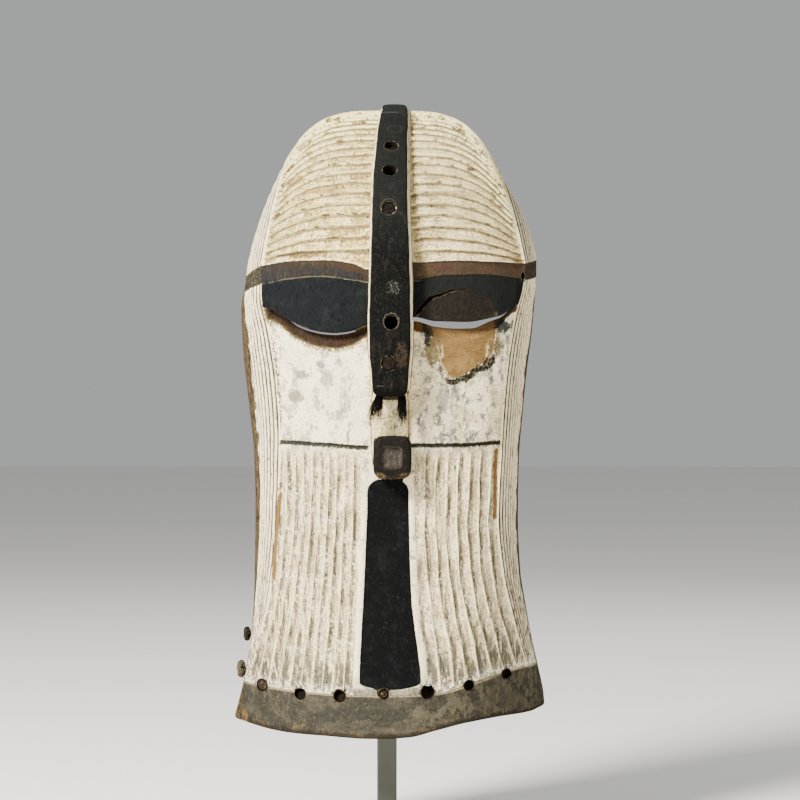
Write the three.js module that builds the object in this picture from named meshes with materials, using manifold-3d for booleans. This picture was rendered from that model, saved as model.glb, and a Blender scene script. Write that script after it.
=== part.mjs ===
// A carved wooden face mask on its display stand, in millimetres with +Z up.
// The mask looks towards -Y. The origin is the centre of the underside of the stand's foot.
// One row of the carved skin runs from the left back rim, round the face, to the right back rim.
// Rows are stacked from the bottom edge up to the brow and then fan back over the crown.
import * as THREE from "three";
import { mergeVertices } from "three/addons/utils/BufferGeometryUtils.js";
import Module from "manifold-3d";

const wasm = await Module();
wasm.setup();

// Driving sizes, mm.
const MIDLINE = 3.2;            // the mask's midline stands this far right of the post's axis
const FACE_Y = -100;            // plane of the face in front of the post's axis
const RIM_DEPTH = 155;          // flat back rim behind the plane of the face
const BROW_Z = 540;             // height at which the forehead starts to lean back
const CROWN_RISE = 150.8;       // crown above the brow
const CROWN_ARC = 240;          // length of the midline from the brow to the back rim
const WALL = 12;                // thickness of the shell at the face
const RIM_WALL = 9;             // thickness of the shell at the back rim
const SIDE_BULGE = 3.5;         // how far the side walls swell out between edge and rim
const RIDGE_PITCH = 11.3;       // forehead ridges, measured along the curve
const RIDGE_DEPTH = 2.2;
const FLUTE_DEPTH = 1.7;
const BAND_DEPTH = 1.2;         // the brow band lies this far below the forehead
const LINE_WIDTH = 4;           // cut line between cheek and fluted field
const LINE_DEPTH = 2.4;
const SIDE_RIBS = 9;            // ribs on each side wall between the face edge and the rim band
const SIDE_RIB_DEPTH = 1.6;
const GAP = 0.3;                // clearance left between pieces that touch

// Smooth curve through stations [at, value] that never overshoots them, flat beyond the ends.
function through(stations) {
  const n = stations.length;
  const slope = [];
  for (let i = 0; i < n - 1; i++)
    slope.push((stations[i + 1][1] - stations[i][1]) / (stations[i + 1][0] - stations[i][0]));
  const tangent = stations.map((_, i) => {
    if (i === 0 || i === n - 1) return 0;
    const [a, b] = [slope[i - 1], slope[i]];
    return a * b <= 0 ? 0 : (2 * a * b) / (a + b);
  });
  return (at) => {
    if (at <= stations[0][0]) return stations[0][1];
    if (at >= stations[n - 1][0]) return stations[n - 1][1];
    const i = stations.findIndex((p) => p[0] > at) - 1;
    const span = stations[i + 1][0] - stations[i][0];
    const t = (at - stations[i][0]) / span;
    const [t2, t3] = [t * t, t * t * t];
    return (2 * t3 - 3 * t2 + 1) * stations[i][1] + (t3 - 2 * t2 + t) * span * tangent[i] +
      (3 * t2 - 2 * t3) * stations[i + 1][1] + (t3 - t2) * span * tangent[i + 1];
  };
}
const clamp = (v, low, high) => Math.min(high, Math.max(low, v));
const smooth = (low, high, v) => {
  const t = clamp((v - low) / (high - low), 0, 1);
  return t * t * (3 - 2 * t);
};

// The form of the mask.
// Half widths from the midline against height: the edge between face and side wall, and the rim.
const left = {
  sign: -1,
  edge: through([[110, 141], [150, 134], [185, 124.5], [236, 112.5], [306, 104.5], [384, 102], [428, 104.5],
    [473, 111], [512, 119], [540, 118.5]]),
  rim: through([[110, 148], [127, 143], [150, 137], [190, 132], [316, 129.5], [368, 131], [412, 135.5],
    [470, 141.5], [508, 143], [540, 138.5]]),
  shoulder: { x: 98, rise: 106 },
  tilt: -7,                     // drop of the brow towards the back rim
  flutes: 10,
  stripHalf: through([[160, 27.5], [208, 25.5], [235, 24], [280, 22], [325, 20.5]]),
  browTop: through([[19, 532], [34, 537.5], [59, 541], [91, 541], [118, 538]]),
  lidTop: through([[19, 520], [28, 521.5], [47, 524.5], [66, 526], [97, 524], [118, 521]]),
  lidLow: through([[19, 482.5], [40, 476], [60, 476], [79, 480.5], [92, 487], [112, 499]]),
  slitLow: through([[19, 480.5], [40, 472.5], [60, 472], [79, 477.5], [92, 485], [112, 498]]),
  socketLow: through([[19, 471.5], [34, 464], [47, 461], [64, 462.5], [85, 470.5], [111, 487.5]]),
  cutLine: through([[20, 371.5], [60, 374], [102, 376]]),
};
const right = {
  sign: 1,
  edge: through([[120, 140], [156, 132.5], [172, 126.5], [221, 112.5], [254, 105], [306, 99.5], [375, 102.5],
    [414, 105], [452, 109], [491, 115.5], [524, 123.5], [540, 124]]),
  rim: through([[120, 145.5], [135, 145], [160, 140.5], [189, 134.5], [223, 128.5], [248, 124.5], [300, 122],
    [358, 123], [394, 126], [434, 130], [487, 136.5], [528, 139.3]]),
  shoulder: { x: 104.5, rise: 90 },
  tilt: 10,
  flutes: 8,
  stripHalf: through([[160, 28], [190, 25], [208, 22.5], [235, 19.5], [280, 17.8], [325, 17]]),
  browTop: through([[22, 538.5], [63, 540.5], [124, 540]]),
  lidTop: through([[22, 521.5], [50, 526], [88, 527], [124, 524.5]]),
  lidLow: through([[22, 489.5], [41, 486], [69, 485.5], [94, 490], [107, 494], [114, 502]]),
  slitLow: through([[22, 486], [41, 481], [60, 479.5], [75, 480], [90, 486], [107, 493], [114, 501]]),
  socketLow: through([[22, 477], [45, 470], [60, 468], [80, 471], [100, 481], [114, 495]]),
  cutLine: through([[20, 373.5], [66, 373.5], [99, 375.5]]),
};
// Depths behind the plane of the face against height, at the midline and at the face's edge.
const middleDepth = through([[110, -6], [150, 0], [220, 6], [300, 9], [360, 10], [400, 8], [440, 5], [480, 3],
  [520, 1], [540, 0]]);
const edgeDepth = through([[110, 120], [148, 103], [180, 80], [230, 60], [300, 48], [360, 42], [450, 42],
  [540, 45]]);
// The groove over the rim band and the bottom edge against the signed distance from the midline.
const grooveZ = through([[-135, 149], [0, 148], [43, 149.5], [77, 157], [100, 162.5], [130, 165.5]]);
const bottomZ = through([[-148, 112], [-100, 110], [0, 110], [18, 111], [42, 117], [73, 122.5], [101, 124],
  [146, 121.5]]);
const strip = { low: 161, high: 333 };
// The crest runs from the back of the crown down into the nose: half width and height against s.
const NOSE_END = -120;
const crestHalf = through([[NOSE_END, 9], [-118, 13.8], [-112, 15.8], [-98, 16.8], [-76, 18.2], [-35, 18.1],
  [0, 17], [60, 15.6], [110, 14.3], [150, 13.3], [185, 12.2], [CROWN_ARC, 11]]);
const crestShift = through([[60, 0], [110, 1.2], [150, 2.8], [185, 3.8]]);
const crestHeight = through([[NOSE_END, 30], [-112, 35], [-60, 28], [0, 18], [60, 12], [130, 7.5],
  [CROWN_ARC, 5.5]]);

// The smooth skin. u is 0 on the midline, 1 at the face's edge and 2 at the rim; s is the height
// over the brow, and above it the length along the midline.
function skin(side, u, s) {
  const z = BROW_Z + Math.min(s, 0);
  const [edge, rim] = [side.edge(z), side.rim(z)];
  const [dMid, dEdge] = [middleDepth(z), edgeDepth(z)];
  const w = Math.max(u - 1, 0);
  const swell = 4 * w * (1 - w);
  let x = u <= 1 ? u * edge : edge + (rim - edge) * w;
  let depth = u <= 1 ? dMid + (dEdge - dMid) * u ** 2.6 : dEdge + (RIM_DEPTH - dEdge) * w;
  let height = BROW_Z + side.tilt * w * Math.exp(Math.min(s, 0) / 120) + Math.min(s, 0);
  let bulge = SIDE_BULGE;
  if (s > 0) {
    const turn = (clamp(s / CROWN_ARC, 0, 1) * Math.PI) / 2;
    const { x: shoulderX, rise } = side.shoulder;
    const top = u <= 1 ? CROWN_RISE - (CROWN_RISE - rise) * u ** 4 : rise * (1 - w);
    const topX = u <= 1 ? u * shoulderX : shoulderX + (rim - shoulderX) * w;
    x += (topX - x) * Math.sin(turn) ** 1.1;
    depth = RIM_DEPTH - (RIM_DEPTH - depth) * Math.cos(turn);
    height += top * Math.sin(turn);
    bulge += 1.8 * Math.sin(turn);
  }
  return new THREE.Vector3(MIDLINE + side.sign * (x + bulge * swell), FACE_Y + depth, height);
}

// Outward unit normal of the smooth skin, taken as the mean of both faces on a crease.
function outward(side, u, s) {
  const step = 0.02;
  const total = new THREE.Vector3();
  for (const du of [-step, step]) {
    const [u0, u1] = [clamp(u + Math.min(du, 0), 0, 2), clamp(u + Math.max(du, 0), 0, 2)];
    if (u1 - u0 < step / 2) continue;
    const at = Math.min(s, CROWN_ARC - 1);
    const mid = clamp((u0 + u1) / 2, 0, 1.98);
    const across = skin(side, u1, at).sub(skin(side, u0, at)).multiplyScalar(side.sign);
    const up = skin(side, mid, at + 1).sub(skin(side, mid, at - 1));
    total.add(across.cross(up).normalize());
  }
  return total.normalize();
}

// Ridges droop towards the face's edge and, on the right, towards the crest; this fades upwards.
function droop(side, u, s) {
  const fade = 1 - smooth(120, CROWN_ARC, s);
  const ends = Math.min(9, 0.55 * s) * Math.min(u, 1) ** 5;
  const nearCrest = clamp(1 - u / 0.45, 0, 1) ** 2 * (1 - smooth(60, 160, s));
  const dip = side.sign > 0 ? Math.min(6.5, 0.5 * s) * nearCrest : 0;
  return (ends + dip) * fade;
}

// Height of the carving over the smooth skin, mm. level says which carved line a row follows.
function relief(side, u, s, level, across) {
  const edgeFade = 1 - smooth(0.965, 0.999, u);
  if (u > 1) return sideRelief(u, level);
  if (level === "ridgeHollow") return -RIDGE_DEPTH * edgeFade;
  if (level === "band") return -BAND_DEPTH * edgeFade;
  const eye = smooth(0.14, 0.2, u) * (1 - smooth(0.93, 0.985, u));
  if (level === "lidTop") return -BAND_DEPTH * edgeFade;
  if (level === "lidMiddle") return 3 * eye;
  if (level === "lidLow") return 5 * eye;
  if (level === "slitTop") return -5.5 * eye;
  if (level === "slitLow") return -6 * eye;
  if (level === "line") return -LINE_DEPTH * smooth(0.17, 0.2, u) * edgeFade;
  if (level === "groove") return -1.5;
  if (level === "flute") return across === "hollow" ? -FLUTE_DEPTH : across === "floor" ? -1.5 : 0;
  return 0;
}
function sideRelief(u, level) {
  const place = (u - 1) * (SIDE_RIBS + 1);
  const hollow = Math.abs(place - Math.floor(place) - 0.5) < 0.01 && u < 1.9;
  return hollow && level !== "end" ? -SIDE_RIB_DEPTH : 0;
}

// Where a face line given as height against distance from the midline crosses the column u.
function lineAt(side, curve, u) {
  const capped = Math.min(u, 1);
  let z = curve(capped * side.edge(BROW_Z));
  z = curve(capped * side.edge(z));
  return z - BROW_Z;
}
const signedLine = (side, curve, u) => {
  const w = Math.max(u - 1, 0);
  const reach = (z) => (u <= 1 ? u * side.edge(z) : side.edge(z) + (side.rim(z) - side.edge(z)) * w);
  const z = curve(side.sign * reach(curve(side.sign * 100)));
  return curve(side.sign * reach(z)) - BROW_Z;
};

// Rows of the carved skin.
const sideColumns = [];
for (let i = 1; i <= 2 * SIDE_RIBS; i++) sideColumns.push(1 + i / (2 * (SIDE_RIBS + 1)));
sideColumns.push(2);
const plainSide = [1.2, 1.45, 1.7, 1.9, 2];
const crownColumns = [0, 0.14, 0.3, 0.45, 0.6, 0.73, 0.84, 0.92, 0.96, 1, ...plainSide];
const faceColumns = [0, 0.14, 0.2, 0.32, 0.46, 0.6, 0.72, 0.82, 0.9, 0.94, 0.985, 1, ...plainSide];
const rows = [];

// Adds one row: heightOf(side, u) gives s, and columnsOf(side) the list of columns from the midline out.
function addRow(level, columnsOf, heightOf) {
  const half = (side) => columnsOf(side).map((column) => {
    const { u, key = column, across } = typeof column === "number" ? { u: column } : column;
    const s = heightOf(side, u);
    const height = relief(side, u, s, level, across);
    const point = skin(side, u, s);
    if (height) point.addScaledVector(outward(side, u, s), height);
    return { key: side.sign * key, point };
  });
  const [toLeft, toRight] = [half(left), half(right)];
  rows.push([...toLeft.reverse(), ...toRight.slice(1)]);
}

// Columns of the fluted field: sharp arrises with hollows between them, beside the flat chin strip.
const fluteColumns = (z) => (side) => {
  const edge = side.edge(z);
  const inside = side.stripHalf(z) / edge;
  const columns = [{ u: 0, key: 0, across: "floor" }, { u: inside * 0.92, key: 0.15, across: "floor" }];
  for (let i = 0; i <= 2 * side.flutes; i++) {
    const part = i / (2 * side.flutes);
    const across = i % 2 ? "hollow" : "arris";
    columns.push({ u: inside + (1 - inside) * part, key: 0.18 + 0.82 * part, across });
  }
  return [...columns, ...sideColumns];
};
const bandRow = (t) => (side, u) =>
  signedLine(side, bottomZ, u) * (1 - t) + signedLine(side, grooveZ, u) * t;
const fieldRow = (t) => (side, u) =>
  signedLine(side, grooveZ, u) * (1 - t) + (lineAt(side, side.cutLine, u) - LINE_WIDTH / 2 - 1) * t;
const between = (side, low, high, u, t) => lineAt(side, low, u) * (1 - t) + lineAt(side, high, u) * t;

addRow("end", () => faceColumns, bandRow(0));
addRow("plain", () => faceColumns, bandRow(0.5));
addRow("plain", () => faceColumns, bandRow(0.94));
addRow("groove", () => faceColumns, bandRow(1));
for (const t of [0.015, 0.06, 0.16, 0.3, 0.45, 0.6, 0.75, 0.85, 0.93, 0.985]) {
  const level = t === 0.015 || t === 0.985 ? "end" : "flute";
  addRow(level, fluteColumns(BROW_Z - 390 + 225 * t), fieldRow(t));
}
addRow("plain", () => faceColumns, (side, u) => lineAt(side, side.cutLine, u) - LINE_WIDTH / 2);
addRow("line", () => faceColumns, (side, u) => lineAt(side, side.cutLine, u));
addRow("plain", () => faceColumns, (side, u) => lineAt(side, side.cutLine, u) + LINE_WIDTH / 2);
for (const t of [0.33, 0.66])
  addRow("plain", () => faceColumns, (side, u) => between(side, side.cutLine, side.socketLow, u, t));
addRow("plain", () => faceColumns, (side, u) => lineAt(side, side.socketLow, u));
addRow("slitLow", () => faceColumns, (side, u) => lineAt(side, side.slitLow, u) - 0.4);
addRow("slitTop", () => faceColumns, (side, u) => lineAt(side, side.lidLow, u) - 0.2);
addRow("lidLow", () => faceColumns, (side, u) => lineAt(side, side.lidLow, u) + 0.6);
addRow("lidMiddle", () => faceColumns, (side, u) => between(side, side.lidLow, side.lidTop, u, 0.55));
addRow("lidTop", () => faceColumns, (side, u) => lineAt(side, side.lidTop, u));
addRow("band", () => faceColumns, (side, u) => lineAt(side, side.browTop, u) - 0.8);
addRow("plain", () => faceColumns, (side, u) => lineAt(side, side.browTop, u));
for (let k = 1; k * RIDGE_PITCH < CROWN_ARC - 4; k++) {
  const arris = k * RIDGE_PITCH;
  const hollow = arris - 0.3 * RIDGE_PITCH;
  addRow("ridgeHollow", () => crownColumns, (side, u) => hollow - droop(side, u, hollow));
  addRow("plain", () => crownColumns, (side, u) => arris - droop(side, u, arris));
}
addRow("end", () => crownColumns, () => CROWN_ARC);

// The hollow behind the face.
const insideRows = [];
const insideColumns = [0, 0.2, 0.4, 0.6, 0.78, 0.9, 1, 1.15, 1.4, 1.7, 2];
function insidePoint(side, u, s, onBottom) {
  const wall = WALL + (RIM_WALL - WALL) * smooth(1.1, 2, u);
  const point = skin(side, u, s).addScaledVector(outward(side, u, Math.min(s, CROWN_ARC - 1)), -wall);
  if (u === 2 || s >= CROWN_ARC) point.y = FACE_Y + RIM_DEPTH;
  point.y = Math.min(point.y, FACE_Y + RIM_DEPTH);
  if (u === 2 && s >= 0) point.copy(insideCorner(side));
  if (onBottom) point.z = skin(side, u, s).z;
  return point;
}
// The inner corner at which all rows over the brow end.
function insideCorner(side) {
  const point = skin(side, 2, 0).addScaledVector(outward(side, 2, -1), -RIM_WALL);
  point.y = FACE_Y + RIM_DEPTH;
  return point;
}
function addInsideRow(heightOf, onBottom = false) {
  const half = (side) => insideColumns.map((u) => (
    { key: side.sign * u, point: insidePoint(side, u, heightOf(side, u), onBottom) }));
  insideRows.push([...half(left).reverse(), ...half(right).slice(1)]);
}
addInsideRow(bandRow(0), true);
for (const s of [-400, -370, -330, -280, -220, -150, -80, -20, 25, 65, 100, 135, 170, 205])
  addInsideRow(() => s);
addInsideRow(() => CROWN_ARC);

// From rows to one closed solid.
// Joins two strings of points into a strip of triangles, by their keys.
function zip(triangles, a, b) {
  let [i, j] = [0, 0];
  while (i < a.length - 1 || j < b.length - 1) {
    const nextA = i < a.length - 1 ? a[i + 1].key : Infinity;
    const nextB = j < b.length - 1 ? b[j + 1].key : Infinity;
    if (nextA <= nextB) {
      triangles.push([a[i].point, a[i + 1].point, b[j].point]);
      i++;
    } else {
      triangles.push([a[i].point, b[j + 1].point, b[j].point]);
      j++;
    }
  }
}
function geometryOf(triangles) {
  const positions = new Float32Array(triangles.length * 9);
  triangles.flat().forEach((p, i) => p.toArray(positions, 3 * i));
  return new THREE.BufferGeometry().setAttribute("position", new THREE.BufferAttribute(positions, 3));
}
function shellGeometry() {
  const triangles = [];
  for (let i = 0; i < rows.length - 1; i++) zip(triangles, rows[i], rows[i + 1]);
  for (let i = 0; i < insideRows.length - 1; i++) zip(triangles, insideRows[i + 1], insideRows[i]);
  // The rim: up the left side, over the crown, down the right side and back along the bottom.
  const loop = (stack) => {
    const up = stack.map((row, i) => ({ key: i ? row[0].point.z : -1e6, point: row[0].point }));
    const over = stack[stack.length - 1];
    const ends = stack.map((row) => row[row.length - 1].point);
    const down = ends.map((point) => ({ key: -point.z, point })).reverse();
    const back = [...stack[0]].reverse().map(({ key, point }) => ({ key: -key, point }));
    return { up, over, down, back };
  };
  const [outer, inner] = [loop(rows), loop(insideRows)];
  for (const part of ["up", "over", "down", "back"]) zip(triangles, outer[part], inner[part]);
  return geometryOf(triangles);
}

// Solids and booleans.
function solid(geometry) {
  const plain = geometry.index ? geometry.toNonIndexed() : geometry;
  const bare = new THREE.BufferGeometry().setAttribute("position", plain.getAttribute("position"));
  const merged = mergeVertices(bare, 1e-4);
  const kept = [];
  for (let i = 0; i < merged.index.count; i += 3) {
    const [a, b, c] = [0, 1, 2].map((k) => merged.index.getX(i + k));
    if (a !== b && b !== c && c !== a) kept.push(a, b, c);
  }
  return new wasm.Manifold(new wasm.Mesh({
    numProp: 3,
    vertProperties: merged.getAttribute("position").array,
    triVerts: new Uint32Array(kept),
  }));
}
function geometryFrom(manifold) {
  const mesh = manifold.getMesh();
  const positions = new Float32Array(mesh.numVert * 3);
  for (let i = 0; i < mesh.numVert; i++)
    for (let k = 0; k < 3; k++) positions[3 * i + k] = mesh.vertProperties[mesh.numProp * i + k];
  return new THREE.BufferGeometry()
    .setAttribute("position", new THREE.BufferAttribute(positions, 3))
    .setIndex(new THREE.BufferAttribute(new Uint32Array(mesh.triVerts), 1));
}
// A cylinder from one point to another.
function rod(from, to, radiusFrom, radiusTo = radiusFrom, sides = 12) {
  const axis = new THREE.Vector3().subVectors(to, from);
  const up = new THREE.Vector3(0, 1, 0);
  const turn = new THREE.Quaternion().setFromUnitVectors(up, axis.clone().normalize());
  return new THREE.CylinderGeometry(radiusTo, radiusFrom, axis.length(), sides)
    .applyQuaternion(turn)
    .translate((from.x + to.x) / 2, (from.y + to.y) / 2, (from.z + to.z) / 2);
}
// A loft through rings with the same number of points, closed with a fan at each end.
function loft(rings) {
  const triangles = [];
  for (let i = 0; i < rings.length - 1; i++)
    rings[i].forEach((p, k) => {
      const next = (k + 1) % rings[i].length;
      triangles.push([p, rings[i][next], rings[i + 1][next]], [p, rings[i + 1][next], rings[i + 1][k]]);
    });
  const [first, last] = [rings[0], rings[rings.length - 1]];
  for (let k = 1; k < first.length - 1; k++) {
    triangles.push([first[0], first[k + 1], first[k]]);
    triangles.push([last[0], last[k], last[k + 1]]);
  }
  const volume = triangles.reduce((sum, [a, b, c]) => sum + a.dot(b.clone().cross(c)), 0);
  return geometryOf(volume < 0 ? triangles.map(([a, b, c]) => [a, c, b]) : triangles);
}

// Crest, nose, lip and mouth.
function crestGeometry() {
  const stations = [NOSE_END, -118, -115, -110, -102, -90, -70, -50, -25, 0];
  for (let s = 15; s < CROWN_ARC - 5; s += 15) stations.push(s);
  stations.push(CROWN_ARC);
  return loft(stations.map((s) => {
    const base = skin(right, 0, s);
    const out = outward(right, 0, s).setX(0).normalize();
    if (s >= CROWN_ARC) out.set(0, 0, 1);
    const [half, height] = [crestHalf(s), crestHeight(s)];
    const foot = half + 2.6 * clamp((s - NOSE_END) / 6, 0.1, 1);
    const shift = crestShift(s);
    const corner = (x, h) => base.clone().addScaledVector(out, h).add(new THREE.Vector3(x + shift, 0, 0));
    return [corner(-foot, -6), corner(foot, -6), corner(half, height - 1.5), corner(half - 2.5, height),
      corner(0, height + 0.6), corner(-half + 2.5, height), corner(-half, height - 1.5)];
  }));
}
const mouth = { x: MIDLINE + 2.1, z: 363, width: 34, height: 38, front: -16, recess: 4 };
function roundedBlock(width, height, radius, depth, bevel) {
  const [w, h] = [width / 2 - bevel, height / 2 - bevel];
  const r = radius - bevel;
  const shape = new THREE.Shape();
  shape.moveTo(-w + r, -h).lineTo(w - r, -h).absarc(w - r, -h + r, r, -Math.PI / 2, 0)
    .lineTo(w, h - r).absarc(w - r, h - r, r, 0, Math.PI / 2)
    .lineTo(-w + r, h).absarc(-w + r, h - r, r, Math.PI / 2, Math.PI)
    .lineTo(-w, -h + r).absarc(-w + r, -h + r, r, Math.PI, 1.5 * Math.PI);
  const options = { depth: depth - 2 * bevel, bevelEnabled: bevel > 0, bevelSize: bevel,
    bevelThickness: bevel, bevelSegments: 2, curveSegments: 3 };
  return new THREE.ExtrudeGeometry(shape, options)
    .translate(0, 0, -depth / 2 + bevel)
    .rotateX(Math.PI / 2);
}
function mouthSolid() {
  const depth = 34;
  const y = FACE_Y + mouth.front + depth / 2;
  const block = solid(roundedBlock(mouth.width, mouth.height, 8, depth, 3).translate(mouth.x, y, mouth.z));
  const cut = solid(roundedBlock(18, 19, 4, 2 * mouth.recess, 0)
    .translate(mouth.x - 1, FACE_Y + mouth.front, mouth.z));
  return block.subtract(cut);
}
// The plain raised lip between nose and mouth.
function lipGeometry() {
  const ring = (z, half, front) => {
    const back = FACE_Y + 14;
    const y = FACE_Y + middleDepth(z) - front;
    return [[-half - 2, back], [half + 2, back], [half, y + 2], [half - 3, y], [-half + 3, y], [-half, y + 2]]
      .map(([x, depthY]) => new THREE.Vector3(MIDLINE + x, depthY, z));
  };
  return loft([ring(350, 14, 2), ring(372, 15, 5), ring(395, 15.5, 7), ring(428, 14, 8)]);
}

// Holes.
const crestHoles = [
  { s: 112, x: 1, radius: 6.1, depth: 7 },
  { s: 82, x: -0.4, radius: 6.3, depth: 14 },
  { s: 44, x: -1.2, radius: 6.3, depth: 9, peg: "crest_peg_upper" },
  { s: -55, x: 1, radius: 6.1, depth: 16 },
  { s: -91, x: -1.3, radius: 6.6, depth: 10, peg: "crest_peg_lower" },
];
const RIM_HOLE_RISE = 0.8;        // rise of the rim holes per mm of depth
const rimHoles = [
  { side: left, x: 119, z: 150, radius: 5.6, peg: "rim_peg_left" },
  { side: left, x: 82, z: 147, radius: 5.2 },
  { side: left, x: 45.5, z: 147.5, radius: 5.4 },
  { side: left, x: 5.4, z: 150, radius: 4.4, peg: "rim_peg_middle" },
  { side: right, x: 34, z: 151.5, radius: 6.2 },
  { side: right, x: 71.5, z: 155.5, radius: 4.6 },
  { side: right, x: 107, z: 162.5, radius: 4.4 },
];
function crestHole({ s, x, radius, depth }, shrink = 0, sink = 0) {
  const out = outward(right, 0, s).setX(0).normalize();
  const face = skin(right, 0, s).addScaledVector(out, crestHeight(s) + 0.6).add(new THREE.Vector3(x, 0, 0));
  const bottom = face.clone().addScaledVector(out, -depth + (shrink ? GAP : 0));
  const top = face.clone().addScaledVector(out, shrink ? -sink : 4);
  return rod(bottom, top, radius - shrink, radius - shrink, 14);
}
// Rim holes are bored back and upwards. Their shape is sheared, so they are round from the front.
function rimHole({ side, x, z, radius }, shrink = 0) {
  const face = skin(side, x / side.edge(z), z - BROW_Z);
  const [inner, outer] = shrink ? [WALL - 4, -0.5] : [34, -25];
  const bore = rod(new THREE.Vector3(0, inner, 0), new THREE.Vector3(0, outer, 0), radius - shrink,
    radius - shrink, 12);
  return bore.applyMatrix4(new THREE.Matrix4().makeShear(0, 0, 0, RIM_HOLE_RISE, 0, 0))
    .translate(face.x, face.y, face.z);
}
// The sight slit under a lid, cut straight through the wall.
function slitGeometry(side) {
  const [upper, lower] = [[], []];
  for (const u of faceColumns.filter((column) => column >= 0.2 && column <= 0.9)) {
    const top = skin(side, u, lineAt(side, side.lidLow, u) + 0.1);
    const bottom = skin(side, u, lineAt(side, side.slitLow, u) - 0.1);
    upper.push([top.x, top.z]);
    lower.push([bottom.x, bottom.z]);
  }
  const outline = [...upper, ...lower.reverse()].map(([x, z]) => new THREE.Vector2(x, z));
  return new THREE.ExtrudeGeometry(new THREE.Shape(outline), { depth: 90, bevelEnabled: false })
    .rotateX(Math.PI / 2)
    .translate(0, FACE_Y + 75, 0);
}
// The small slot at the right end of the brow band.
function browSlot() {
  const face = skin(right, 1, -12);
  return new THREE.CylinderGeometry(1, 1, 12, 8).rotateX(Math.PI / 2).scale(1.4, 1, 3.4)
    .translate(face.x - 2, face.y, face.z);
}

function maskSolid() {
  let body = solid(shellGeometry());
  body = body.add(solid(crestGeometry())).add(solid(lipGeometry())).add(mouthSolid());
  for (const hole of crestHoles) body = body.subtract(solid(crestHole(hole)));
  for (const hole of rimHoles) body = body.subtract(solid(rimHole(hole)));
  for (const side of [left, right]) body = body.subtract(solid(slitGeometry(side)));
  return body.subtract(solid(browSlot())).asOriginal().simplify(0.03);
}

// Tufts, pegs and knots.
// A tuft of stiff hair: a flat bundle that spreads towards its cut end.
function tuftGeometry(top, end, topRadius, spread) {
  const rings = [0, 0.3, 0.7, 1].map((t) => {
    const centre = new THREE.Vector3().lerpVectors(top, end, t);
    const wide = topRadius + (spread - topRadius) * t;
    const thick = topRadius * (1 - 0.35 * t);
    return Array.from({ length: 8 }, (_, k) => {
      const angle = (k / 8) * 2 * Math.PI;
      return centre.clone().add(new THREE.Vector3(wide * Math.cos(angle), -thick * Math.sin(angle), 0));
    });
  });
  return loft(rings);
}
const noseEnd = skin(right, 0, NOSE_END);
const nostrilZ = noseEnd.z - 2.2 - GAP;
const nostrilY = noseEnd.y - 21;
const tufts = {
  nostril_tuft_left: tuftGeometry(new THREE.Vector3(MIDLINE - 9, nostrilY, nostrilZ),
    new THREE.Vector3(MIDLINE - 15, nostrilY - 2, nostrilZ - 22), 2.4, 4.6),
  nostril_tuft_right: tuftGeometry(new THREE.Vector3(MIDLINE + 9, nostrilY, nostrilZ),
    new THREE.Vector3(MIDLINE + 11.5, nostrilY - 2, nostrilZ - 24), 2.4, 3.4),
};
// A knot end of plant fibre lying against the outside of the left rim.
function knotGeometry(fromMidline, depth, z, size, stretch) {
  const ball = new THREE.IcosahedronGeometry(size, 1);
  return ball.scale(0.75, 1, stretch).translate(MIDLINE - fromMidline, FACE_Y + depth, z);
}

// The stand.
const foot = { width: 190, depth: 170, height: 10, corner: 4 };
const post = { width: 18.4, depth: 12.7, chamfer: 2.2 };
const SADDLE_DEPTH = 20;        // along Y
const SADDLE_SLOPE = 0.37;      // the inside of the crown rises this much per mm towards the back
const SADDLE_CLEAR = 6.5;       // from the smooth inner skin of the crown to the top of the pad
const SADDLE_THICK = 12;
const PAD = 3;
const SADDLE_DROP = WALL + SADDLE_CLEAR + PAD;
function insideCrown(x) {
  const side = x < MIDLINE ? left : right;
  const reach = Math.abs(x - MIDLINE);
  const turn = Math.acos((RIM_DEPTH + FACE_Y) / RIM_DEPTH);
  const edge = side.edge(BROW_Z) + (side.shoulder.x - side.edge(BROW_Z)) * Math.sin(turn) ** 1.1;
  const rise = CROWN_RISE - (CROWN_RISE - side.shoulder.rise) * (reach / edge) ** 4;
  return BROW_Z + rise * Math.sin(turn);
}
// A bar across the stand whose top follows the inside of the crown, lowered by drop.
function saddleGeometry(drop, thickness, half) {
  const count = 10;
  const [top, bottom] = [[], []];
  for (let i = 0; i <= count; i++) {
    const x = -half + (2 * half * i) / count + MIDLINE;
    top.push(new THREE.Vector2(x, insideCrown(x) - drop));
    bottom.push(new THREE.Vector2(x, insideCrown(x) - drop - thickness));
  }
  return new THREE.ExtrudeGeometry(new THREE.Shape([...bottom, ...top.reverse()]),
    { depth: SADDLE_DEPTH, bevelEnabled: false }).rotateX(Math.PI / 2).translate(0, SADDLE_DEPTH / 2, 0)
    .applyMatrix4(new THREE.Matrix4().makeShear(0, 0, 0, SADDLE_SLOPE, 0, 0));
}
function box(x0, x1, y0, y1, z0, z1) {
  return new THREE.BoxGeometry(x1 - x0, y1 - y0, z1 - z0)
    .translate((x0 + x1) / 2, (y0 + y1) / 2, (z0 + z1) / 2);
}
function footGeometry() {
  const { width, depth, height, corner } = foot;
  const [w, d] = [width / 2, depth / 2];
  const shape = new THREE.Shape();
  shape.moveTo(-w + corner, -d)
    .lineTo(w - corner, -d).absarc(w - corner, -d + corner, corner, -Math.PI / 2, 0)
    .lineTo(w, d - corner).absarc(w - corner, d - corner, corner, 0, Math.PI / 2)
    .lineTo(-w + corner, d).absarc(-w + corner, d - corner, corner, Math.PI / 2, Math.PI)
    .lineTo(-w, -d + corner).absarc(-w + corner, -d + corner, corner, Math.PI, 1.5 * Math.PI);
  return new THREE.ExtrudeGeometry(shape, { depth: height, bevelEnabled: false, curveSegments: 4 });
}
const spacer = { z: 215, half: 6, padHalfWidth: 22, padHalfHeight: 16 };
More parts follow.
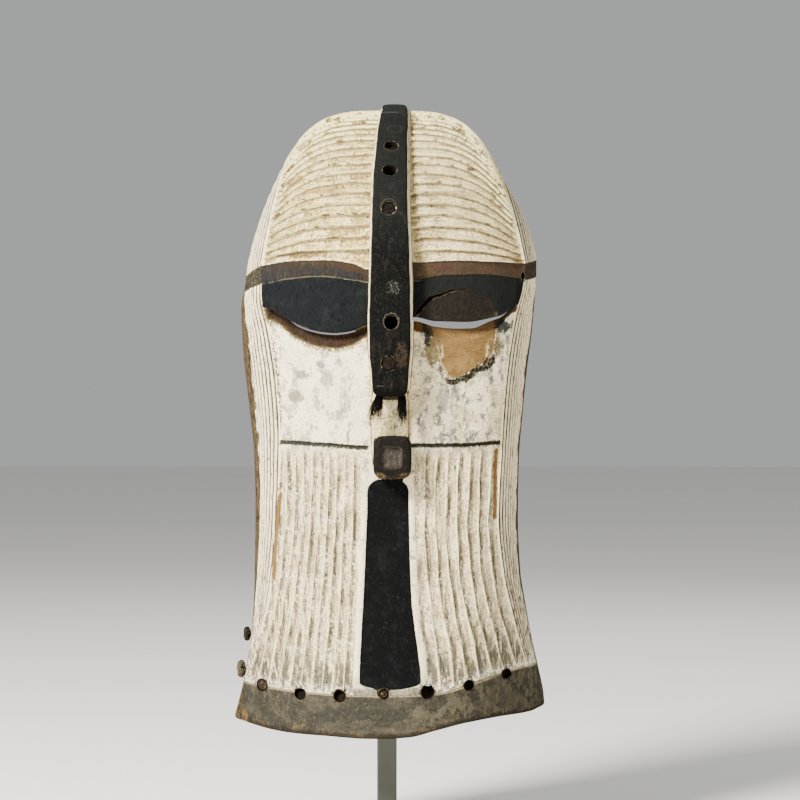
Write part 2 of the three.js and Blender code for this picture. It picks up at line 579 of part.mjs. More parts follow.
const spacerFace = FACE_Y + middleDepth(spacer.z) + WALL + GAP + PAD + 3.4;
const spacerPlate = (y0, y1) => box(MIDLINE - spacer.padHalfWidth, MIDLINE + spacer.padHalfWidth, y0, y1,
  spacer.z - spacer.padHalfHeight, spacer.z + spacer.padHalfHeight);
function postGeometry() {
  const [w, d, c] = [post.width / 2, post.depth / 2, post.chamfer];
  const shape = new THREE.Shape([[-w + c, -d], [w - c, -d], [w, -d + c], [w, d - c], [w - c, d], [-w + c, d],
    [-w, d - c], [-w, -d + c]].map(([x, y]) => new THREE.Vector2(x, y)));
  const bar = new THREE.ExtrudeGeometry(shape, { depth: 1, bevelEnabled: false });
  // The top is cut to the slope of the saddle's underside, the foot end stands on the plate.
  const underside = insideCrown(-w) - SADDLE_DROP - SADDLE_THICK;
  const position = bar.getAttribute("position");
  for (let i = 0; i < position.count; i++)
    position.setZ(i, position.getZ(i) < 0.5 ? foot.height + GAP
      : underside + SADDLE_SLOPE * position.getY(i) - GAP);
  return bar;
}
// The padded spacer that keeps the chin off the post: a short arm with a plate at its end.
function spacerGeometry() {
  const { half, z } = spacer;
  const arm = box(-half, half, spacerFace + 2, -post.depth / 2 - GAP, z - half, z + half);
  return geometryFrom(solid(arm).add(solid(spacerPlate(spacerFace, spacerFace + 4))));
}
const spacerPad = spacerPlate(spacerFace - GAP - PAD, spacerFace - GAP);
const saddlePad = saddleGeometry(WALL + SADDLE_CLEAR - GAP, PAD, 52);

// The parts.
const finishes = {
  wood: new THREE.MeshStandardMaterial({ name: "painted_carved_wood", color: 0xe0d6c2, roughness: 0.85 }),
  peg: new THREE.MeshStandardMaterial({ name: "wooden_peg", color: 0x6b5136, roughness: 0.85 }),
  hair: new THREE.MeshStandardMaterial({ name: "hair", color: 0x1c1613, roughness: 0.7 }),
  fibre: new THREE.MeshStandardMaterial({ name: "plant_fibre", color: 0x6e5b3f, roughness: 0.95 }),
  steel: new THREE.MeshStandardMaterial({ name: "painted_steel", color: 0x6a6a5c, roughness: 0.5 }),
  felt: new THREE.MeshStandardMaterial({ name: "felt_pad", color: 0x3b3b38, roughness: 1 }),
};
const part = new THREE.Group();
part.name = "carved_mask_on_stand";
function addPart(name, geometry, material) {
  const mesh = new THREE.Mesh(geometry, material);
  mesh.name = name;
  part.add(mesh);
}
addPart("mask", geometryFrom(maskSolid()), finishes.wood);
for (const hole of crestHoles)
  if (hole.peg) addPart(hole.peg, crestHole(hole, GAP, 1.2), finishes.peg);
for (const hole of rimHoles)
  if (hole.peg) addPart(hole.peg, rimHole(hole, GAP), finishes.peg);
for (const [name, geometry] of Object.entries(tufts)) addPart(name, geometry, finishes.hair);
addPart("cord_knot_upper", knotGeometry(137, 148, 191.5, 5.5, 1.3), finishes.fibre);
addPart("cord_knot_lower", knotGeometry(142.6, 148, 158, 6.5, 1.35), finishes.fibre);
addPart("stand_post", postGeometry(), finishes.steel);
addPart("stand_saddle", saddleGeometry(SADDLE_DROP, SADDLE_THICK, 52), finishes.steel);
addPart("stand_spacer", spacerGeometry(), finishes.steel);
addPart("stand_foot", footGeometry(), finishes.steel);
addPart("saddle_pad", saddlePad, finishes.felt);
addPart("spacer_pad", spacerPad, finishes.felt);

export default part;
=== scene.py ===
"""A carved and painted wooden face mask on its display post.

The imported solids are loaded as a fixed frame. The script builds the mask's carved skin from the
same form as the solids, cuts its ridges, flutes and ribs with Geometry Nodes, joins crest, lip and
mouth to it, bores its holes, and dresses every piece in procedural earth paint, wood, hair, fibre,
steel and felt. Lengths in the form are millimetres, and every mesh is made in metres.
"""
import sys

import logging
import math
from dataclasses import dataclass, field
from enum import Enum
from functools import reduce
from typing import Any, Callable, Sequence

import bmesh
import bpy
import numpy as np
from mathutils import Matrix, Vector

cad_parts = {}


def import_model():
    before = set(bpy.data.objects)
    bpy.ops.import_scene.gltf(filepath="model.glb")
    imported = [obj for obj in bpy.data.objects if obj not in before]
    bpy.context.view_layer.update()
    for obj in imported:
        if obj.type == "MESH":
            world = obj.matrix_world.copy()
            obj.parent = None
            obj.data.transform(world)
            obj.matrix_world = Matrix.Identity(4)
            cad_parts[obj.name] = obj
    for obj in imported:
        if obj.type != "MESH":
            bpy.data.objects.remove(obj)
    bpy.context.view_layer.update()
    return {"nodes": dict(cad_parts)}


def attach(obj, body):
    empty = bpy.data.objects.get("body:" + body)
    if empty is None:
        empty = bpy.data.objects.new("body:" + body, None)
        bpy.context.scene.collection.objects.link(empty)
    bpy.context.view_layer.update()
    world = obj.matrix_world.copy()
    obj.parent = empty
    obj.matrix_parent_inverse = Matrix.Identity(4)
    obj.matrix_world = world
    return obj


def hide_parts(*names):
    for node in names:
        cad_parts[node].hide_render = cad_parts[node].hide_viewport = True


log = logging.getLogger("mask")
MM = 0.001
OUTSIDE = -50.0
ZONES = ("lid", "brow", "socket", "strip", "line", "patch", "flake", "crown", "band", "scar")
Piece = bpy.types.Object
Material = bpy.types.Material
Tree = bpy.types.NodeTree
Socket = bpy.types.NodeSocket
Values = np.ndarray
Points = np.ndarray
Columns = list[tuple[float, float, float]]
Field = Callable[[Values], Values]
Place = Callable[["Half", Values], Values]


# Small tools.

def smooth(low: float, high: float, value: Any) -> Any:
    """Smooth step of value from low to high."""
    t = np.clip((np.asarray(value, float) - low) / (high - low), 0.0, 1.0)
    return t * t * (3.0 - 2.0 * t)


def through(*stations: tuple[float, float]) -> Field:
    """Smooth curve through stations that never overshoots them.

    Args:
        stations: pairs of place and value, in rising order of place.

    Returns:
        A function from places to values, flat beyond the ends.
    """
    at = np.array([s[0] for s in stations], float)
    value = np.array([s[1] for s in stations], float)
    slope = np.diff(value) / np.diff(at)
    tangent = np.zeros(len(at))
    for i in range(1, len(at) - 1):
        a, b = slope[i - 1], slope[i]
        tangent[i] = 0.0 if a * b <= 0 else 2 * a * b / (a + b)

    def curve(place: Values) -> Values:
        """The curve's values at places."""
        place = np.clip(np.asarray(place, float), at[0], at[-1])
        i = np.clip(np.searchsorted(at, place, side="right") - 1, 0, len(at) - 2)
        span = at[i + 1] - at[i]
        t = (place - at[i]) / span
        t2, t3 = t * t, t * t * t
        return ((2 * t3 - 3 * t2 + 1) * value[i] + (t3 - 2 * t2 + t) * span * tangent[i]
                + (3 * t2 - 2 * t3) * value[i + 1] + (t3 - t2) * span * tangent[i + 1])

    return curve


def wander(seed: float, place: Values, wave: float) -> Values:
    """A smooth hand wobble between about -1 and 1 along place, with bumps about wave long."""
    t = np.asarray(place, float) / wave * 2 * math.pi
    return (0.5 * np.sin(t * 0.61 + seed * 12.9898) + 0.32 * np.sin(t * 1.37 + seed * 78.233)
            + 0.18 * np.sin(t * 2.9 + seed * 37.719))


def linear(colour: str) -> tuple[float, float, float, float]:
    """Turns an sRGB hex colour such as "e0d6c2" to linear RGBA."""
    parts = [int(colour[i:i + 2], 16) / 255 for i in (0, 2, 4)]
    lit = [p / 12.92 if p <= 0.04045 else ((p + 0.055) / 1.055) ** 2.4 for p in parts]
    return (lit[0], lit[1], lit[2], 1.0)


def put(tree: Tree, kind: str, feeds: Any = (), out: Any = 0, **settings: Any) -> Socket:
    """Adds one node with its settings and links.

    Args:
        tree: the node tree.
        kind: the node's type name.
        feeds: values or driving sockets, in a list by position or in a dict by name or position.
        out: which output to return.
        settings: properties of the node.

    Returns:
        The chosen output socket, whose node is socket.node.
    """
    made = tree.nodes.new(kind)
    for name, value in settings.items():
        setattr(made, name, value)
    pairs = feeds.items() if isinstance(feeds, dict) else enumerate(feeds)
    for key, value in pairs:
        if isinstance(value, Socket):
            tree.links.new(value, made.inputs[key])
        elif value is not None:
            made.inputs[key].default_value = value
    return made.outputs[out] if len(made.outputs) else made.inputs[0]


def mesh_object(name: str, points: Points, faces: Sequence[Sequence[int]],
                fields: dict[str, Values] | None = None) -> Piece:
    """Makes a mesh object from points in millimetres.

    Args:
        name: the object's name.
        points: rows of x, y, z in millimetres.
        faces: vertex numbers of each face.
        fields: named values at the points, kept as attributes.

    Returns:
        The object, at the origin.
    """
    mesh = bpy.data.meshes.new(name)
    mesh.from_pydata((np.asarray(points) * MM).tolist(), [], [list(f) for f in faces])
    for key, values in (fields or {}).items():
        kind = "FLOAT_VECTOR" if np.ndim(values) == 2 else "FLOAT"
        slot = mesh.attributes.new(key, kind, "POINT")
        slot.data.foreach_set("vector" if kind == "FLOAT_VECTOR" else "value",
                              np.asarray(values, np.float32).ravel())
    mesh.update()
    made = bpy.data.objects.new(name, mesh)
    bpy.context.scene.collection.objects.link(made)
    return made


def clean(made: Piece, merge: float = 0.01) -> Piece:
    """Merges doubles closer than merge mm, drops slivers and turns the faces outwards."""
    work = bmesh.new()
    work.from_mesh(made.data)
    bmesh.ops.remove_doubles(work, verts=work.verts, dist=merge * MM)
    bmesh.ops.dissolve_degenerate(work, edges=work.edges, dist=1e-7)
    bmesh.ops.recalc_face_normals(work, faces=work.faces)
    if work.calc_volume(signed=True) < 0:
        bmesh.ops.reverse_faces(work, faces=work.faces)
    work.to_mesh(made.data)
    work.free()
    return made


def baked(made: Piece) -> Piece:
    """Turns an object's modifiers into its plain mesh."""
    graph = bpy.context.evaluated_depsgraph_get()
    graph.update()
    fresh = bpy.data.meshes.new_from_object(made.evaluated_get(graph), depsgraph=graph)
    made.modifiers.clear()
    old = made.data
    made.data = fresh
    fresh.name = made.name
    bpy.data.meshes.remove(old)
    return made


def combine(body: Piece, tool: Piece, operation: str) -> None:
    """Joins tool to body or cuts it away, and removes the tool."""
    change = body.modifiers.new("boolean", "BOOLEAN")
    change.operation = operation
    change.solver = "MANIFOLD"
    change.object = tool
    change.material_mode = "TRANSFER"
    before = len(body.data.polygons)
    baked(body)
    log.info("%s %s: %d to %d faces", operation.lower(), tool.name, before, len(body.data.polygons))
    bpy.data.objects.remove(tool)


def shade(made: Piece, angle: float = 35.0) -> None:
    """Shades smoothly, with edges steeper than angle degrees kept sharp."""
    made.data.shade_smooth()
    made.data.set_sharp_from_angle(angle=math.radians(angle))


def run_nodes(made: Piece, tree: Tree, sizes: dict[str, Any]) -> None:
    """Runs a Geometry Nodes tree on an object with named input values and keeps the plain mesh."""
    change = made.modifiers.new("nodes", "NODES")
    change.node_group = tree
    for item in tree.interface.items_tree:
        if item.in_out == "INPUT" and item.name in sizes:
            change[item.identifier] = sizes[item.name]
    baked(made)


def new_nodes(name: str, inputs: dict[str, tuple[str, Any]]) -> tuple[Tree, Any]:
    """Starts a Geometry Nodes tree with a Geometry input and output and named inputs.

    Args:
        name: the tree's name.
        inputs: input name to its socket type and default value.

    Returns:
        The tree and its group input node.
    """
    tree = bpy.data.node_groups.new(name, "GeometryNodeTree")
    tree.interface.new_socket("Geometry", in_out="INPUT", socket_type="NodeSocketGeometry")
    tree.interface.new_socket("Geometry", in_out="OUTPUT", socket_type="NodeSocketGeometry")
    for key, (kind, value) in inputs.items():
        socket = tree.interface.new_socket(key, in_out="INPUT", socket_type=kind)
        if value is not None:
            socket.default_value = value
    return tree, tree.nodes.new("NodeGroupInput")


# The form of the mask, in millimetres, as the solids have it.

MIDLINE = 3.2
FACE_Y = -100.0
RIM_DEPTH = 155.0
BROW_Z = 540.0
CROWN_RISE = 150.8
CROWN_ARC = 240.0
WALL = 12.0
RIM_WALL = 9.0
SIDE_BULGE = 3.5
RIDGE_PITCH = 11.3
SIDE_RIBS = 9
NOSE_END = -120.0
BOTTOM = -430.0


@dataclass(frozen=True)
class Half:
    """One half of the face, by its outlines as half widths or heights against the other."""

    sign: int
    edge: Field
    rim: Field
    shoulder_x: float
    shoulder_rise: float
    tilt: float
    flutes: int
    strip_half: Field
    brow_top: Field
    lid_top: Field
    lid_low: Field
    slit_low: Field
    socket_low: Field
    cut_line: Field

    def line(self, curve: Field, u: Values) -> Values:
        """Height over the brow at which a face line crosses the column u."""
        capped = np.minimum(u, 1.0)
        z = curve(capped * self.edge(np.full_like(capped, BROW_Z)))
        return curve(capped * self.edge(z)) - BROW_Z

    def signed(self, curve: Field, u: Values) -> Values:
        """As line, for a curve given against the signed distance from the midline."""
        w = np.maximum(u - 1.0, 0.0)

        def reach(z: Values) -> Values:
            """Distance from the midline at height z."""
            edge = self.edge(z)
            return np.where(u <= 1, u * edge, edge + (self.rim(z) - edge) * w)

        z = curve(self.sign * reach(curve(np.full_like(u, self.sign * 100.0))))
        return curve(self.sign * reach(z)) - BROW_Z


LEFT = Half(
    sign=-1,
    edge=through((110, 141), (150, 134), (185, 124.5), (236, 112.5), (306, 104.5), (384, 102),
                 (428, 104.5), (473, 111), (512, 119), (540, 118.5)),
    rim=through((110, 148), (127, 143), (150, 137), (190, 132), (316, 129.5), (368, 131),
                (412, 135.5), (470, 141.5), (508, 143), (540, 138.5)),
    shoulder_x=98, shoulder_rise=106, tilt=-7, flutes=10,
    strip_half=through((160, 27.5), (208, 25.5), (235, 24), (280, 22), (325, 20.5)),
    brow_top=through((19, 532), (34, 537.5), (59, 541), (91, 541), (118, 538)),
    lid_top=through((19, 520), (28, 521.5), (47, 524.5), (66, 526), (97, 524), (118, 521)),
    lid_low=through((19, 482.6), (30, 478.4), (40, 476), (50, 475.2), (60, 475.9), (70, 477.8),
                    (79, 480.6), (92, 487), (112, 499)),
    slit_low=through((19, 481.6), (30, 477.2), (40, 474.6), (50, 473.7), (60, 474.4), (70, 476.4),
                     (79, 479.3), (92, 485.8), (112, 498.2)),
    socket_low=through((19, 471.5), (34, 464), (47, 461), (64, 462.5), (85, 470.5), (111, 487.5)),
    cut_line=through((20, 371.5), (60, 374), (102, 376)),
)
RIGHT = Half(
    sign=1,
    edge=through((120, 140), (156, 132.5), (172, 126.5), (221, 112.5), (254, 105), (306, 99.5),
                 (375, 102.5), (414, 105), (452, 109), (491, 115.5), (524, 123.5), (540, 124)),
    rim=through((120, 145.5), (135, 145), (160, 140.5), (189, 134.5), (223, 128.5), (248, 124.5),
                (300, 122), (358, 123), (394, 126), (434, 130), (487, 136.5), (528, 139.3)),
    shoulder_x=104.5, shoulder_rise=90, tilt=10, flutes=8,
    strip_half=through((160, 28), (190, 25), (208, 22.5), (235, 19.5), (280, 17.8), (325, 17)),
    brow_top=through((22, 538.5), (63, 540.5), (124, 540)),
    lid_top=through((22, 521.5), (50, 526), (88, 527), (124, 524.5)),
    lid_low=through((22, 489.5), (41, 486), (69, 485.5), (94, 490), (107, 494), (114, 502)),
    slit_low=through((22, 486), (41, 481), (60, 479.5), (75, 480), (90, 486), (107, 493),
                     (114, 501)),
    socket_low=through((22, 477), (45, 470), (60, 468), (80, 471), (100, 481), (114, 495)),
    cut_line=through((20, 373.5), (66, 373.5), (99, 375.5)),
)
MIDDLE_DEPTH = through((110, -6), (150, 0), (220, 6), (300, 9), (360, 10), (400, 8), (440, 5),
                       (480, 3), (520, 1), (540, 0))
EDGE_DEPTH = through((110, 120), (148, 103), (180, 80), (230, 60), (300, 48), (360, 42),
                     (450, 42), (540, 45))
GROOVE_Z = through((-135, 149), (0, 148), (43, 149.5), (77, 157), (100, 162.5), (130, 165.5))
BOTTOM_Z = through((-148, 114), (-143, 112), (-100, 110.5), (-60, 111.3), (-20, 110), (0, 110.3),
                   (18, 111.4), (42, 117), (73, 122.5), (101, 124), (134, 122.6), (142, 124.5),
                   (147, 130))
STRIP_LOW, STRIP_HIGH = 161.0, 333.0
CREST_HALF = through((NOSE_END, 9), (-118, 13.8), (-112, 15.8), (-98, 16.8), (-76, 18.2),
                     (-35, 18.1), (0, 17), (60, 15.6), (110, 14.3), (150, 13.3), (185, 12.2),
                     (CROWN_ARC, 11))
CREST_SHIFT = through((60, 0), (110, 1.2), (150, 2.8), (185, 3.8))
CREST_HEIGHT = through((NOSE_END, 30), (-112, 35), (-60, 28), (0, 18), (60, 12), (130, 7.5),
                       (CROWN_ARC, 5.5))


def skin(side: Half, u: Any, s: Any) -> Points:
    """Points of the smooth skin.

    Args:
        side: the half of the face.
        u: 0 on the midline, 1 at the face's edge, 2 at the back rim.
        s: height over the brow, and above it the length along the midline.

    Returns:
        Rows of x, y, z.
    """
    u, s = np.broadcast_arrays(np.asarray(u, float), np.asarray(s, float))
    low = np.minimum(s, 0.0)
    z = BROW_Z + low
    edge, rim = side.edge(z), side.rim(z)
    middle, at_edge = MIDDLE_DEPTH(z), EDGE_DEPTH(z)
    w = np.maximum(u - 1.0, 0.0)
    on_face = u <= 1
    x = np.where(on_face, u * edge, edge + (rim - edge) * w)
    inward = np.minimum(u, 1.0)
    depth = np.where(on_face, middle + (at_edge - middle) * inward ** 2.6,
                     at_edge + (RIM_DEPTH - at_edge) * w)
    height = BROW_Z + side.tilt * w * np.exp(low / 120) + low
    turn = np.clip(s / CROWN_ARC, 0, 1) * math.pi / 2
    sine, cosine = np.sin(turn), np.cos(turn)
    top = np.where(on_face, CROWN_RISE - (CROWN_RISE - side.shoulder_rise) * inward ** 4,
                   side.shoulder_rise * (1 - w))
    top_x = np.where(on_face, u * side.shoulder_x, side.shoulder_x + (rim - side.shoulder_x) * w)
    x = x + (top_x - x) * np.maximum(sine, 0) ** 1.1
    depth = RIM_DEPTH - (RIM_DEPTH - depth) * cosine
    height = height + top * sine
    bulge = (SIDE_BULGE + 1.8 * sine) * 4 * w * (1 - w)
    return np.stack([MIDLINE + side.sign * (x + bulge), FACE_Y + depth, height], axis=-1)


def outward(side: Half, u: Any, s: Any) -> Points:
    """Outward unit normals of the smooth skin, the mean of both faces on a crease."""
    u, s = np.broadcast_arrays(np.asarray(u, float), np.asarray(s, float))
    at = np.minimum(s, CROWN_ARC - 1)
    total = np.zeros(u.shape + (3,))
    for low, high in ((-0.02, 0.0), (0.0, 0.02)):
        u0, u1 = np.clip(u + low, 0, 2), np.clip(u + high, 0, 2)
        kept = (u1 - u0) > 0.01
        middle = np.clip((u0 + u1) / 2, 0, 1.98)
        across = (skin(side, u1, at) - skin(side, u0, at)) * side.sign
        up = skin(side, middle, at + 1) - skin(side, middle, at - 1)
        cross = np.cross(across, up)
        length = np.linalg.norm(cross, axis=-1, keepdims=True)
        total += np.where(kept[..., None], cross / np.maximum(length, 1e-9), 0)
    return total / np.maximum(np.linalg.norm(total, axis=-1, keepdims=True), 1e-9)


def droop(side: Half, u: Values, s: float) -> Values:
    """How far the forehead ridges sink towards the face's edge and, on the right, the crest."""
    fade = 1 - smooth(120, CROWN_ARC, s)
    ends = min(9.0, 0.55 * s) * np.minimum(u, 1.0) ** 5
    if side.sign < 0:
        return ends * fade
    near = np.clip(1 - u / 0.45, 0, 1) ** 2 * (1 - smooth(60, 160, s))
    return (ends + min(6.5, 0.5 * s) * near) * fade


class Worn(Enum):
    """Outlines of worn and stained places, as x from the post's axis and z, in millimetres."""

    PATCH = ((39.9, 481), (71.5, 481), (97.7, 490), (99.2, 477.3), (97.5, 461), (92.4, 451.1),
             (77, 441.5), (64, 435.5), (56, 434.6), (50, 444.9), (42.4, 467.4))
    FLAKE = ((27, 490), (33.5, 498.6), (39, 504.8), (48, 507.6), (56, 511.4), (62.5, 512.8),
             (73, 514.4), (84, 512), (95, 505), (100, 497), (95, 484), (30, 484))
    LEFT_SCAR = ((-99.6, 331), (-96.4, 331), (-100.5, 290), (-103.6, 249), (-106.4, 249),
                 (-103.8, 290))
    RIGHT_SCAR = ((98.9, 371), (102.4, 371), (101.6, 304), (98.4, 304))

    def inside(self, x: Values, z: Values) -> Values:
        """Distance inside the outline, negative outside it, mm."""
        corners = np.array(self.value, float)
        following = np.roll(corners, -1, axis=0)
        best = np.full(np.shape(x), 1e9)
        within = np.zeros(np.shape(x), bool)
        for (ax, az), (bx, bz) in zip(corners, following):
            dx, dz = bx - ax, bz - az
            t = np.clip(((x - ax) * dx + (z - az) * dz) / (dx * dx + dz * dz), 0, 1)
            best = np.minimum(best, np.hypot(x - ax - t * dx, z - az - t * dz))
            crossing = (az > z) != (bz > z)
            at = ax + (z - az) / (dz if dz else 1e-9) * dx
            within ^= crossing & (x < at)
        return np.where(within, best, -best)


@dataclass
class Row:
    """One row of the carved skin, from the left back rim to the right back rim."""

    key: Values
    sign: Values
    u: Values
    s: Values
    height: Values
    ridge: Values
    flute: Values

    def halves(self) -> list[tuple[Half, Values]]:
        """Each half with the mask of its columns."""
        return [(side, self.sign == side.sign) for side in (LEFT, RIGHT)]


def edge_fade(u: Values) -> Values:
    """1 on the face, fading to 0 at its edge."""
    return (1 - smooth(0.965, 0.999, u)) * (u <= 1)


def eye_fade(u: Values) -> Values:
    """1 across an eye, fading to 0 at the crest and towards the face's edge."""
    return smooth(0.14, 0.2, u) * (1 - smooth(0.93, 0.985, u)) * (u <= 1)


def between(low: str, high: str, t: float, shift: float = 0.0) -> Place:
    """A row t of the way between two face lines, raised by shift mm."""
    return lambda side, u: (side.line(getattr(side, low), u) * (1 - t)
                            + side.line(getattr(side, high), u) * t + shift)


def band_row(t: float) -> Place:
    """A row t of the way from the bottom edge up to the groove."""
    return lambda side, u: side.signed(BOTTOM_Z, u) * (1 - t) + side.signed(GROOVE_Z, u) * t


def field_row(t: float) -> Place:
    """A row t of the way from the groove up to the cut line."""
    return lambda side, u: (side.signed(GROOVE_Z, u) * (1 - t)
                            + (side.line(side.cut_line, u) - 3) * t)


def arris(side: Half, k: int, u: Values) -> Values:
    """Where the arris of forehead ridge k runs, wandering a little as a hand cuts it."""
    s = k * RIDGE_PITCH
    if k == 0:
        return side.line(side.brow_top, u) + 0.1
    still = 1 - smooth(0.9, 1.0, u)
    sway = 0.8 * wander(k * 1.7 + side.sign, u * 110, 70) * still * (u <= 1)
    return s - droop(side, u, s) + sway


def ridge_row(k: int, t: float) -> Place:
    """A row t of the way from one arris to the next."""
    return lambda side, u: arris(side, k, u) * (1 - t) + arris(side, k + 1, u) * t


@dataclass
class CarvedSkin:
    """The mask's shell: the rows of its outside, the hollow and the rim between them.

    The rows follow the carved lines, so that lids, bands and ridges have true edges.
    """

    ridge_depth: float = 2.8
    flute_depth: float = 1.7
    rib_depth: float = 1.5
    line_depth: float = 2.4
    ridge_steps: tuple[float, ...] = (0.0, 0.07, 0.2, 0.42, 0.64, 0.82, 0.91, 0.96)
    flute_steps: tuple[float, ...] = (0.0, 0.1, 0.28, 0.5, 0.72, 0.9)
    field_rows: int = 60
    cheek_rows: int = 38
    lid_rows: int = 20
    rows: list[Row] = field(default_factory=list)

    def side_columns(self, step: int) -> Columns:
        """Columns of a side wall as u, key and flute phase, with step columns to a rib."""
        count = (SIDE_RIBS + 1) * step
        return [(1 + i / count, 1 + i / count, 0.0) for i in range(1, count + 1)]

    def face_columns(self, _side: Half) -> Columns:
        """Plain columns of the face and its side wall, the same on both halves."""
        inner = [0.0, 0.05, 0.1, 0.13]
        outer = [0.955, 0.965, 0.975, 0.985, 0.993, 1.0]
        middle = np.linspace(0.145, 0.94, 46)
        return [(u, u, 0.0) for u in (*inner, *middle, *outer)] + self.side_columns(5)

    def crown_columns(self, _side: Half) -> Columns:
        """Plain columns of the crown, with a coarser side wall."""
        outer = [0.955, 0.97, 0.985, 0.995, 1.0]
        middle = np.linspace(0.12, 0.94, 42)
        return [(u, u, 0.0) for u in (0.0, 0.05, 0.1, *middle, *outer)] + self.side_columns(2)

    def flute_columns(self, z: float) -> Callable[[Half], Columns]:
        """Columns of the fluted field at height z: the strip, its plain border and the flutes."""
        def columns(side: Half) -> Columns:
            """The columns of one half."""
            edge = float(side.edge(z))
            inside = float(side.strip_half(z)) / edge
            border = inside + 5.0 / edge
            found = [(inside * t, 0.14 * t, 0.0) for t in (0, 0.3, 0.55, 0.75, 0.88, 0.96)]
            found += [(inside + off / edge, key, 0.0)
                      for off, key in ((0.4, 0.143), (1.6, 0.15), (3.4, 0.165))]
            for i in range(side.flutes):
                sway = 0.16 * wander(i + 3.0 * side.sign, z, 130) * (1 - border) / side.flutes
                for t in self.flute_steps:
                    part = (i + t) / side.flutes
                    u = border + (1 - border) * part + (sway if 0 < part <= 0.99 else 0.0)
                    found.append((u, 0.18 + 0.82 * part, i + t))
            found.append((1.0, 1.0, float(side.flutes)))
            return found + self.side_columns(5)

        return columns

    def add(self, columns_of: Callable[[Half], Columns], place: Place, lift: Any = 0.0,
            where: Callable[[Values], Values] = np.ones_like, ridge: float = -1.0) -> None:
        """Adds a row.

        Args:
            columns_of: the columns of one half.
            place: s against u on one half.
            lift: carved height over the smooth skin, one number or a function of half and u.
            where: share of the lift against u.
            ridge: phase of the forehead ridges, or -1 where there are none.
        """
        halves = []
        for side in (LEFT, RIGHT):
            u, key, flute = np.array(columns_of(side), float).T
            s = np.asarray(place(side, u), float)
            height = (lift(side, u) if callable(lift) else lift) * where(u)
            halves.append([side.sign * key, np.full_like(u, side.sign), u, s, height,
                           np.full_like(u, ridge), flute])
        left, right = halves
        self.rows.append(Row(*[np.concatenate([a[::-1], b[1:]]) for a, b in zip(left, right)]))

    def lay_band_and_field(self) -> None:
        """Lays the rim band, the fluted field over it, the cut line and the cheeks."""
        face = self.face_columns
        for t in (0, 0.025, 0.07, 0.14, 0.22, 0.31, 0.4, 0.49, 0.58, 0.67, 0.76, 0.85, 0.92, 0.965):
            self.add(face, band_row(t), 0.0 if t else -1.6)
        self.add(face, band_row(1.0), -1.5, lambda u: u <= 1)
        for i in range(1, self.field_rows):
            t = i / self.field_rows
            z = BROW_Z - 390 + 225 * t
            self.add(self.flute_columns(z), field_row(t), self.strip_height(z))
        for shift, depth in ((-2.2, 0), (-1.5, 0.55), (-0.6, 1), (0.6, 1), (1.5, 0.6), (2.4, 0)):
            self.add(face, between("cut_line", "cut_line", 0, shift), -self.line_depth * depth,
                     lambda u: smooth(0.17, 0.2, u) * edge_fade(u))
        for i in range(1, self.cheek_rows):
            self.add(face, between("cut_line", "socket_low", i / self.cheek_rows))

    def lay_eyes(self) -> None:
        """Lays the sunk sockets, the lids that stand over them and the brow band."""
        face = self.face_columns
        for t, depth in ((0, 0), (0.12, 1.2), (0.3, 2.6), (0.5, 3.9), (0.7, 4.9), (0.88, 5.6),
                         (1, 6)):
            self.add(face, between("socket_low", "slit_low", t, -0.4 * t), -depth, eye_fade)
        for shift, lift in ((-0.2, -5.5), (0.1, 3.6), (0.5, 4.9), (1.2, 5.3)):
            self.add(face, between("lid_low", "lid_low", 0, shift), lift, eye_fade)
        for i in range(1, self.lid_rows):
            t = 0.03 + 0.97 * i / self.lid_rows
            lift = float(np.interp(t, [0, 0.3, 0.55, 0.85, 1], [5.3, 4.5, 3.0, 0.7, -0.3]))
            self.add(face, between("lid_low", "lid_top", t), lift,
                     eye_fade if lift > 0 else edge_fade)
        for shift, left, right in ((-0.5, -0.2, -0.9), (0.5, -2.3, -1.4)):
            self.add(face, between("lid_top", "lid_top", 0, shift),
                     lambda side, u, depths=(right, left): depths[side.sign < 0], edge_fade)
        for t, depth in ((0.15, 2.1), (0.35, 1.8), (0.55, 1.6), (0.75, 1.4), (0.9, 1.25)):
            self.add(face, between("lid_top", "brow_top", t), -depth, edge_fade)
        self.add(face, between("brow_top", "brow_top", 0, -0.7), -1.2, edge_fade)
        self.add(face, between("brow_top", "brow_top", 0, 0.1))

    def lay_crown(self) -> None:
        """Lays the forehead ridges up to the back of the crown."""
        for k in range(int(CROWN_ARC / RIDGE_PITCH)):
            for t in self.ridge_steps:
                if (k or t >= 0.2) and (k + t) * RIDGE_PITCH <= CROWN_ARC - 3:
                    self.add(self.crown_columns, ridge_row(k, t), ridge=k + t)
        self.add(self.crown_columns, lambda side, u: np.full_like(u, CROWN_ARC), ridge=21.0)

    def strip_height(self, z: float) -> Place:
        """Height of the sunk chin strip and its raised border at height z."""
        def height(side: Half, u: Values) -> Values:
            """The height on one half."""
            off = u * side.edge(np.full_like(u, z)) - side.strip_half(z)
            ends = smooth(STRIP_LOW - 3, STRIP_LOW + 1, z) * (1 - smooth(STRIP_HIGH, 345, z))
            sunk = -1.5 * (1 - smooth(-0.8, 0.4, off)) * ends
            proud = 0.5 * smooth(0.2, 1.4, off) * (1 - smooth(3.4, 5.0, off)) * (u < 1)
            return sunk + proud

        return height

    def surface(self, row: Row) -> tuple[Points, Points]:
        """The row's points, with its carved height, and the outward ways there."""
        points, ways = np.zeros((2, len(row.u), 3))
        for side, here in row.halves():
            u, s = row.u[here], row.s[here]
            ways[here] = outward(side, u, s)
            points[here] = skin(side, u, s) + ways[here] * row.height[here][:, None]
        return points, ways

